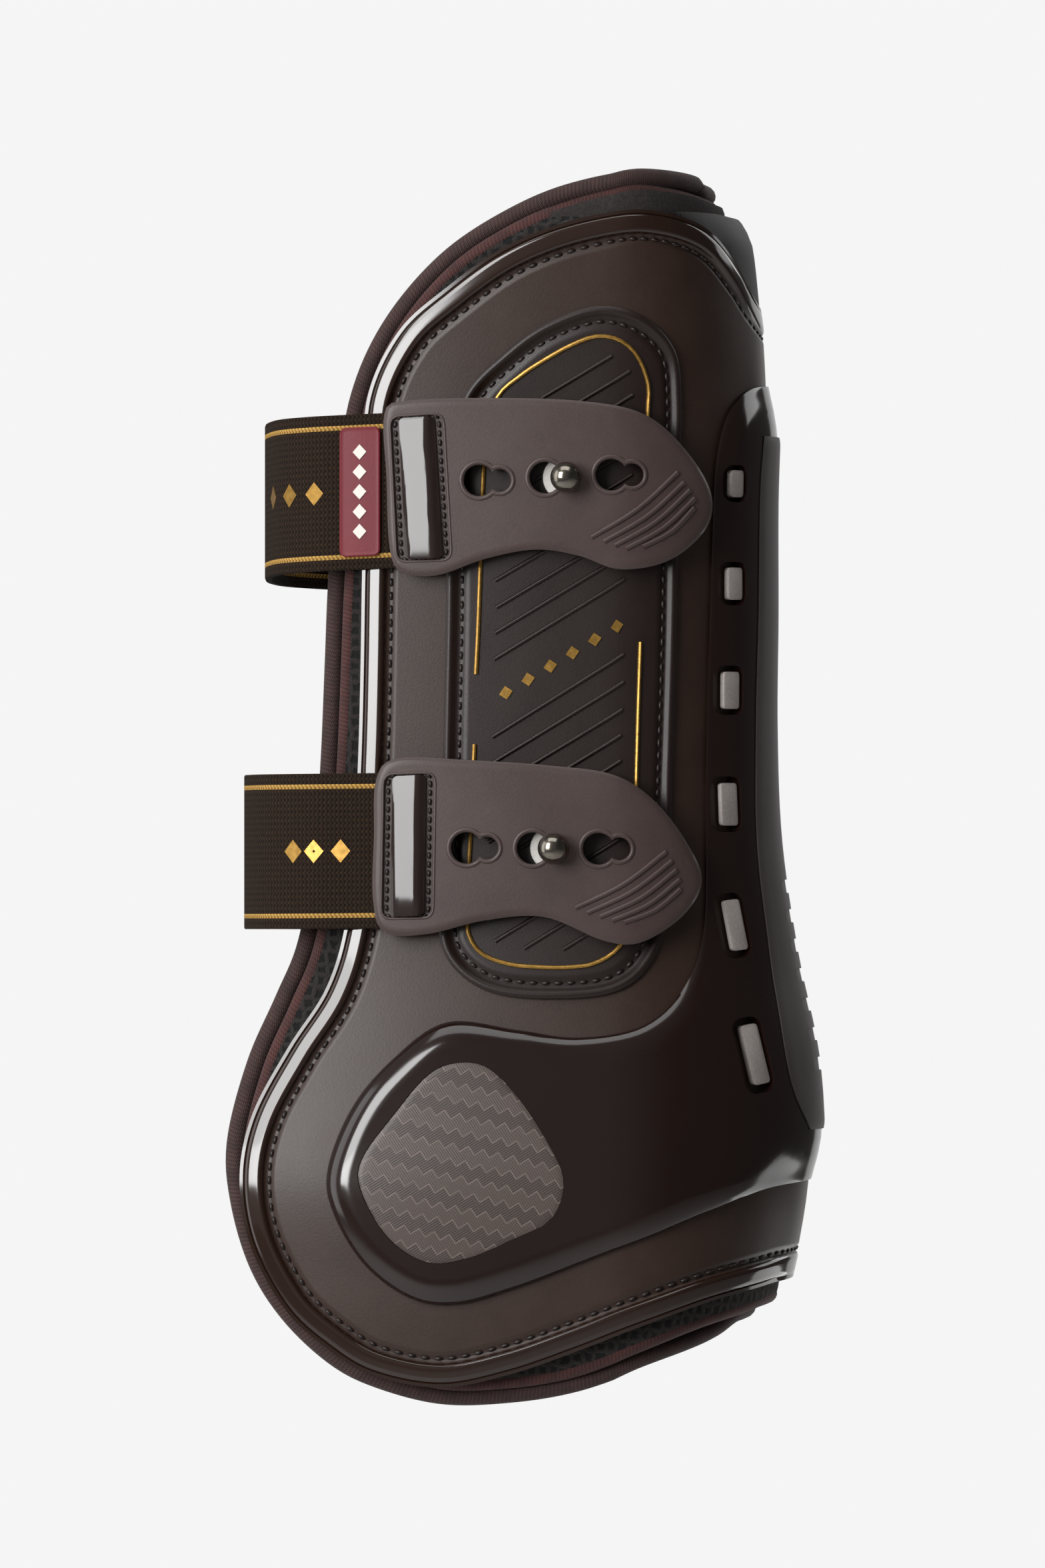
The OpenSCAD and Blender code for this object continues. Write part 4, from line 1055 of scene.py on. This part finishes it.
# a softer grade of TPU, a shade lighter than the shell, with a rubbery sheen; the window
# beside it is polished like glass
tab_tpu = satin_tpu("TPU, soft moulding", "#352826", "#534643", roughness=0.4, grain=0.45)
inlay_tpu = polished_tpu("TPU, polished window", "#2c2220", roughness=0.08, ripple=0.05, gloss=0.45)
tabs = {
    "upper": {
        "outline": [
            (-42.5, 219.3), (-38, 222.2), (-21, 222.8), (0, 222.2), (14.2, 219.5), (23.2, 212.3),
            (29.5, 202.3), (28.6, 194.2), (20.5, 187), (9.7, 184.9), (0.6, 187.9), (-9, 189.3),
            (-20, 187.3), (-31, 183.6), (-39.1, 184.6), (-41.4, 190.6), (-42, 205)],
        "window": [(-39.3, 218.4), (-31.4, 218.8), (-29.6, 187.4), (-37.8, 187.2)],
        "rise": 0.6,
        "grip": [((3.3, 192), (22.3, 206.4)), ((6.1, 191.1), (23.7, 204.2)), ((8.5, 190.2), (25, 202.5)),
                 ((11, 189.5), (26.1, 200.7)), ((14.6, 189.9), (25.9, 198.6))]},
    "lower": {
        "outline": [
            (-44.3, 138.5), (-39.6, 143.2), (-24, 142.8), (-6, 141.6), (8, 139.6), (17, 133.9), (24.3, 124.4),
            (27.6, 116), (23.4, 108.4), (14.2, 102.5), (6, 102.9), (-7, 108.1), (-20, 107.4), (-33.2, 104.3),
            (-42.5, 104.7), (-45, 112), (-44.8, 126)],
        "window": [(-40.7, 139.2), (-33.2, 139.6), (-33.7, 108.4), (-41.2, 108.1)],
        "rise": -0.1,
        "grip": [((-0.2, 110.2), (19.7, 122.5)), ((2.4, 109.1), (21.0, 120.5)), ((5.2, 108.2), (22.0, 118.5)),
                 ((7.9, 107.4), (22.7, 116.4)), ((10.6, 107), (22.9, 114.3))]}}


def tab_place(x, z, d):
    """Tabs bend to the near side at one height, so that they come off it straight."""
    spot = wrap(pattern_q(x, 160, d), 160, d)
    return Vector((spot.x, spot.y, z * mm))


def keyhole(x, z, spare=0.0, steps=10):
    """The outline of a keyhole whose small end is at x, z, clockwise, with its walls moved out by spare."""
    big, small = key_radius + spare, slot_radius + spare
    reach = (key_step**2 + big**2 - small**2) / (2 * key_step)
    tall = math.sqrt(big**2 - reach**2)
    start = math.atan2(tall, reach)
    points = []
    for n in range(2 * steps + 1):
        turn = -start - (2 * math.pi - 2 * start) * n / (2 * steps)
        points.append(Vector((x - key_step + big * math.cos(turn), z + big * math.sin(turn))))
    stop = math.atan2(tall, reach - key_step)
    for n in range(1, 2 * steps):
        turn = stop - 2 * stop * n / (2 * steps)
        points.append(Vector((x + small * math.cos(turn), z + small * math.sin(turn))))
    return points


for name, made in tabs.items():
    body = name + "_clasp"
    ball_x, ball_z = balls[name]
    holes = [(ball_x + k * key_pitch, ball_z + k * made["rise"]) for k in (-1, 0, 1)]
    outline = drawn([Vector(p) for p in made["outline"]], 1.6, closed=True)
    tab_edge = [
        (0, tab_level + 0.5), (0.3, tab_face - 0.5), (0.8, tab_face - 0.15), (1.3, tab_face), (2.2, tab_face)]
    corners = [Vector(p) for p in made["window"]]
    cutters = [prism(keyhole(x, z), tab_level - 1, tab_face + 1) for x, z in holes]
    cutters.append(prism(rounded(drawn_in(corners, -1.9), 2.2), tab_face - 0.7, tab_face + 1))
    bm = less(blank(outline, tab_edge, tab_level), cutters)
    crease_lines(bm, 3.0, 5.0)
    piece(name + "_tab_moulding", bm, body, [tab_tpu], [name + "_tab"], place=tab_place)
    parts = []
    for x, z in holes:
        rim = [(p.x, tab_face, p.y) for p in keyhole(x, z, 0.55)]
        parts.append(bead(rim, 0.5, rounds=2, squash=0.6))
    for low, high in made["grip"]:
        low, high = Vector(low), Vector(high)
        bow = (high - low).orthogonal().normalized() * -1.2
        line = drawn([low, low.lerp(high, 0.5) + bow, high], 2.5)
        parts.append(bead([(p.x, tab_face, p.y) for p in line], 0.62, closed=False, rounds=2, squash=0.75))
    frame_path = [(p.x, tab_face, p.y) for p in rounded(drawn_in(corners, -2.1), 2.4)]
    parts.append(bead(frame_path, 0.3, rounds=2, squash=0.6))
    piece(name + "_tab_ribs", together(parts), body, [tab_tpu], place=tab_place, sharp=180)

    def crowned(x, z, d, corners=corners):
        """The inlay rises towards a wandering crest near its back edge, and its top leans back a little."""
        if d < tab_face - 0.4:
            return 0.0
        up = (z - corners[3].y) / (corners[0].y - corners[3].y)
        left, right = corners[3].lerp(corners[0], up).x, corners[2].lerp(corners[1], up).x
        t = (x - left) / (right - left)
        wander = 0.07 * math.sin(0.45 * z) + 0.04 * math.sin(1.2 * z)
        leaning = 0.4 * (1 - up) * min(1.0, 8 * t)
        return leaning + max(0.0, min(1.15 * t, 0.95 * ease((1 - t) / (0.3 + wander))))

    inlay_edge = [(0, tab_face - 0.35), (0.3, tab_face - 0.15), (0.8, tab_face - 0.1)]
    inlay = blank(rounded(corners, 1.2), inlay_edge, tab_face - 0.65)
    crease_lines(inlay, 1.0, 5.0)
    piece(name + "_window_inlay", inlay, body, [inlay_tpu], [name + "_inlay"], place=tab_place,
          relief=crowned)
    seam = rounded(drawn_in(corners, -0.9), 1.6, step=1.0)
    sewn = stitches(seam[::2], tab_face - 0.5, pitch=2.0, length=0.9, radius=0.36)
    piece(name + "_tab_stitches", sewn, body, [thread], place=tab_place, sharp=180)

# ---------------------------------------------------------------------------
# Camera, light and floor
# A long lens square on to the near side, matt paper far below, a plain pale
# studio round it, and softboxes up to the left, above and behind.
# ---------------------------------------------------------------------------
scene = bpy.context.scene
scene.view_settings.view_transform = "Standard"
centre = Vector((-0.0119, 0, 0.1375))
near_face = 0.038    # metres from the leg's axis to the side that the lens is set for
distance, view_height = 3.0, 0.3469
lens = bpy.data.cameras.new("long_lens")
lens.sensor_fit = "VERTICAL"
lens.sensor_height = 36
lens.lens = 36 * distance / view_height
lens.clip_end = 30
camera = bpy.data.objects.new("camera", lens)
bpy.context.collection.objects.link(camera)
camera.location = centre + Vector((0, -distance - near_face, 0))
camera.rotation_euler = (math.radians(90), 0, 0)
scene.camera = camera

backdrop_paint, shader = new_finish("matt paper, plain", Roughness=0.95, Specular_IOR_Level=0.1)
shader.inputs["Base Color"].default_value = linear("#d8d7d6")
bm = bmesh.new()
floor_level, floor_half = -0.8, 4.0
bmesh.ops.create_grid(bm, x_segments=1, y_segments=1, size=floor_half)
bmesh.ops.translate(bm, verts=bm.verts[:], vec=(0, 0, floor_level))
mesh = bpy.data.meshes.new("floor")
bm.to_mesh(mesh)
bm.free()
mesh.materials.append(backdrop_paint)
floor = bpy.data.objects.new("floor", mesh)
bpy.context.collection.objects.link(floor)

world = bpy.data.worlds.new("studio")
scene.world = world
world.use_nodes = True
seen = world.node_tree.nodes["Background"]
seen.inputs["Color"].default_value = linear("#f5f5f5")
seen.inputs["Strength"].default_value = 1.0
towards = add(world, "TexCoord").outputs["Generated"]
across = add(world, "SeparateXYZ", {0: towards}).outputs["X"]
strength = add(world, "MapRange", {
    "Value": across, "From Min": 0.55, "From Max": -0.65, "To Min": 0.07, "To Max": 0.34}).outputs[0]
fill = add(world, "Background", {"Color": linear("#f4f2f0"), "Strength": strength}).outputs[0]
seen_directly = add(world, "LightPath").outputs["Is Camera Ray"]
pick = add(world, "MixShader", {0: seen_directly, 1: fill, 2: seen.outputs[0]}).outputs[0]
world.node_tree.links.new(pick, world.node_tree.nodes["World Output"].inputs[0])


def softbox(name, azimuth, elevation, far, wide, tall, power):
    """A soft light that faces the boot; azimuth 0 is in front, and it goes up towards the left."""
    light = bpy.data.lights.new(name, "AREA")
    light.shape = "RECTANGLE"
    light.size, light.size_y = wide, tall
    light.energy = power
    made = bpy.data.objects.new(name, light)
    bpy.context.collection.objects.link(made)
    turn, up = math.radians(azimuth), math.radians(elevation)
    way = Vector((-math.sin(turn) * math.cos(up), -math.cos(turn) * math.cos(up), math.sin(up)))
    made.location = centre + way * far
    made.rotation_euler = (-way).to_track_quat("-Z", "Y").to_euler()


softbox("key_softbox", 37, 17.5, 1.6, 0.72, 1.07, 21)
softbox("key_strip", 36, 5.5, 1.58, 0.76, 0.34, 3.2)
softbox("side_softbox", 80, 8, 1.6, 0.8, 1.9, 7)
softbox("top_softbox", 10, 70, 1.5, 1.4, 0.9, 7)
softbox("upper_card", -132, 28, 1.6, 1.2, 0.8, 5)
softbox("lower_card", -132, -27, 1.4, 1.1, 0.6, 3)
softbox("rear_wall", -165, 4, 1.5, 0.9, 1.8, 3)
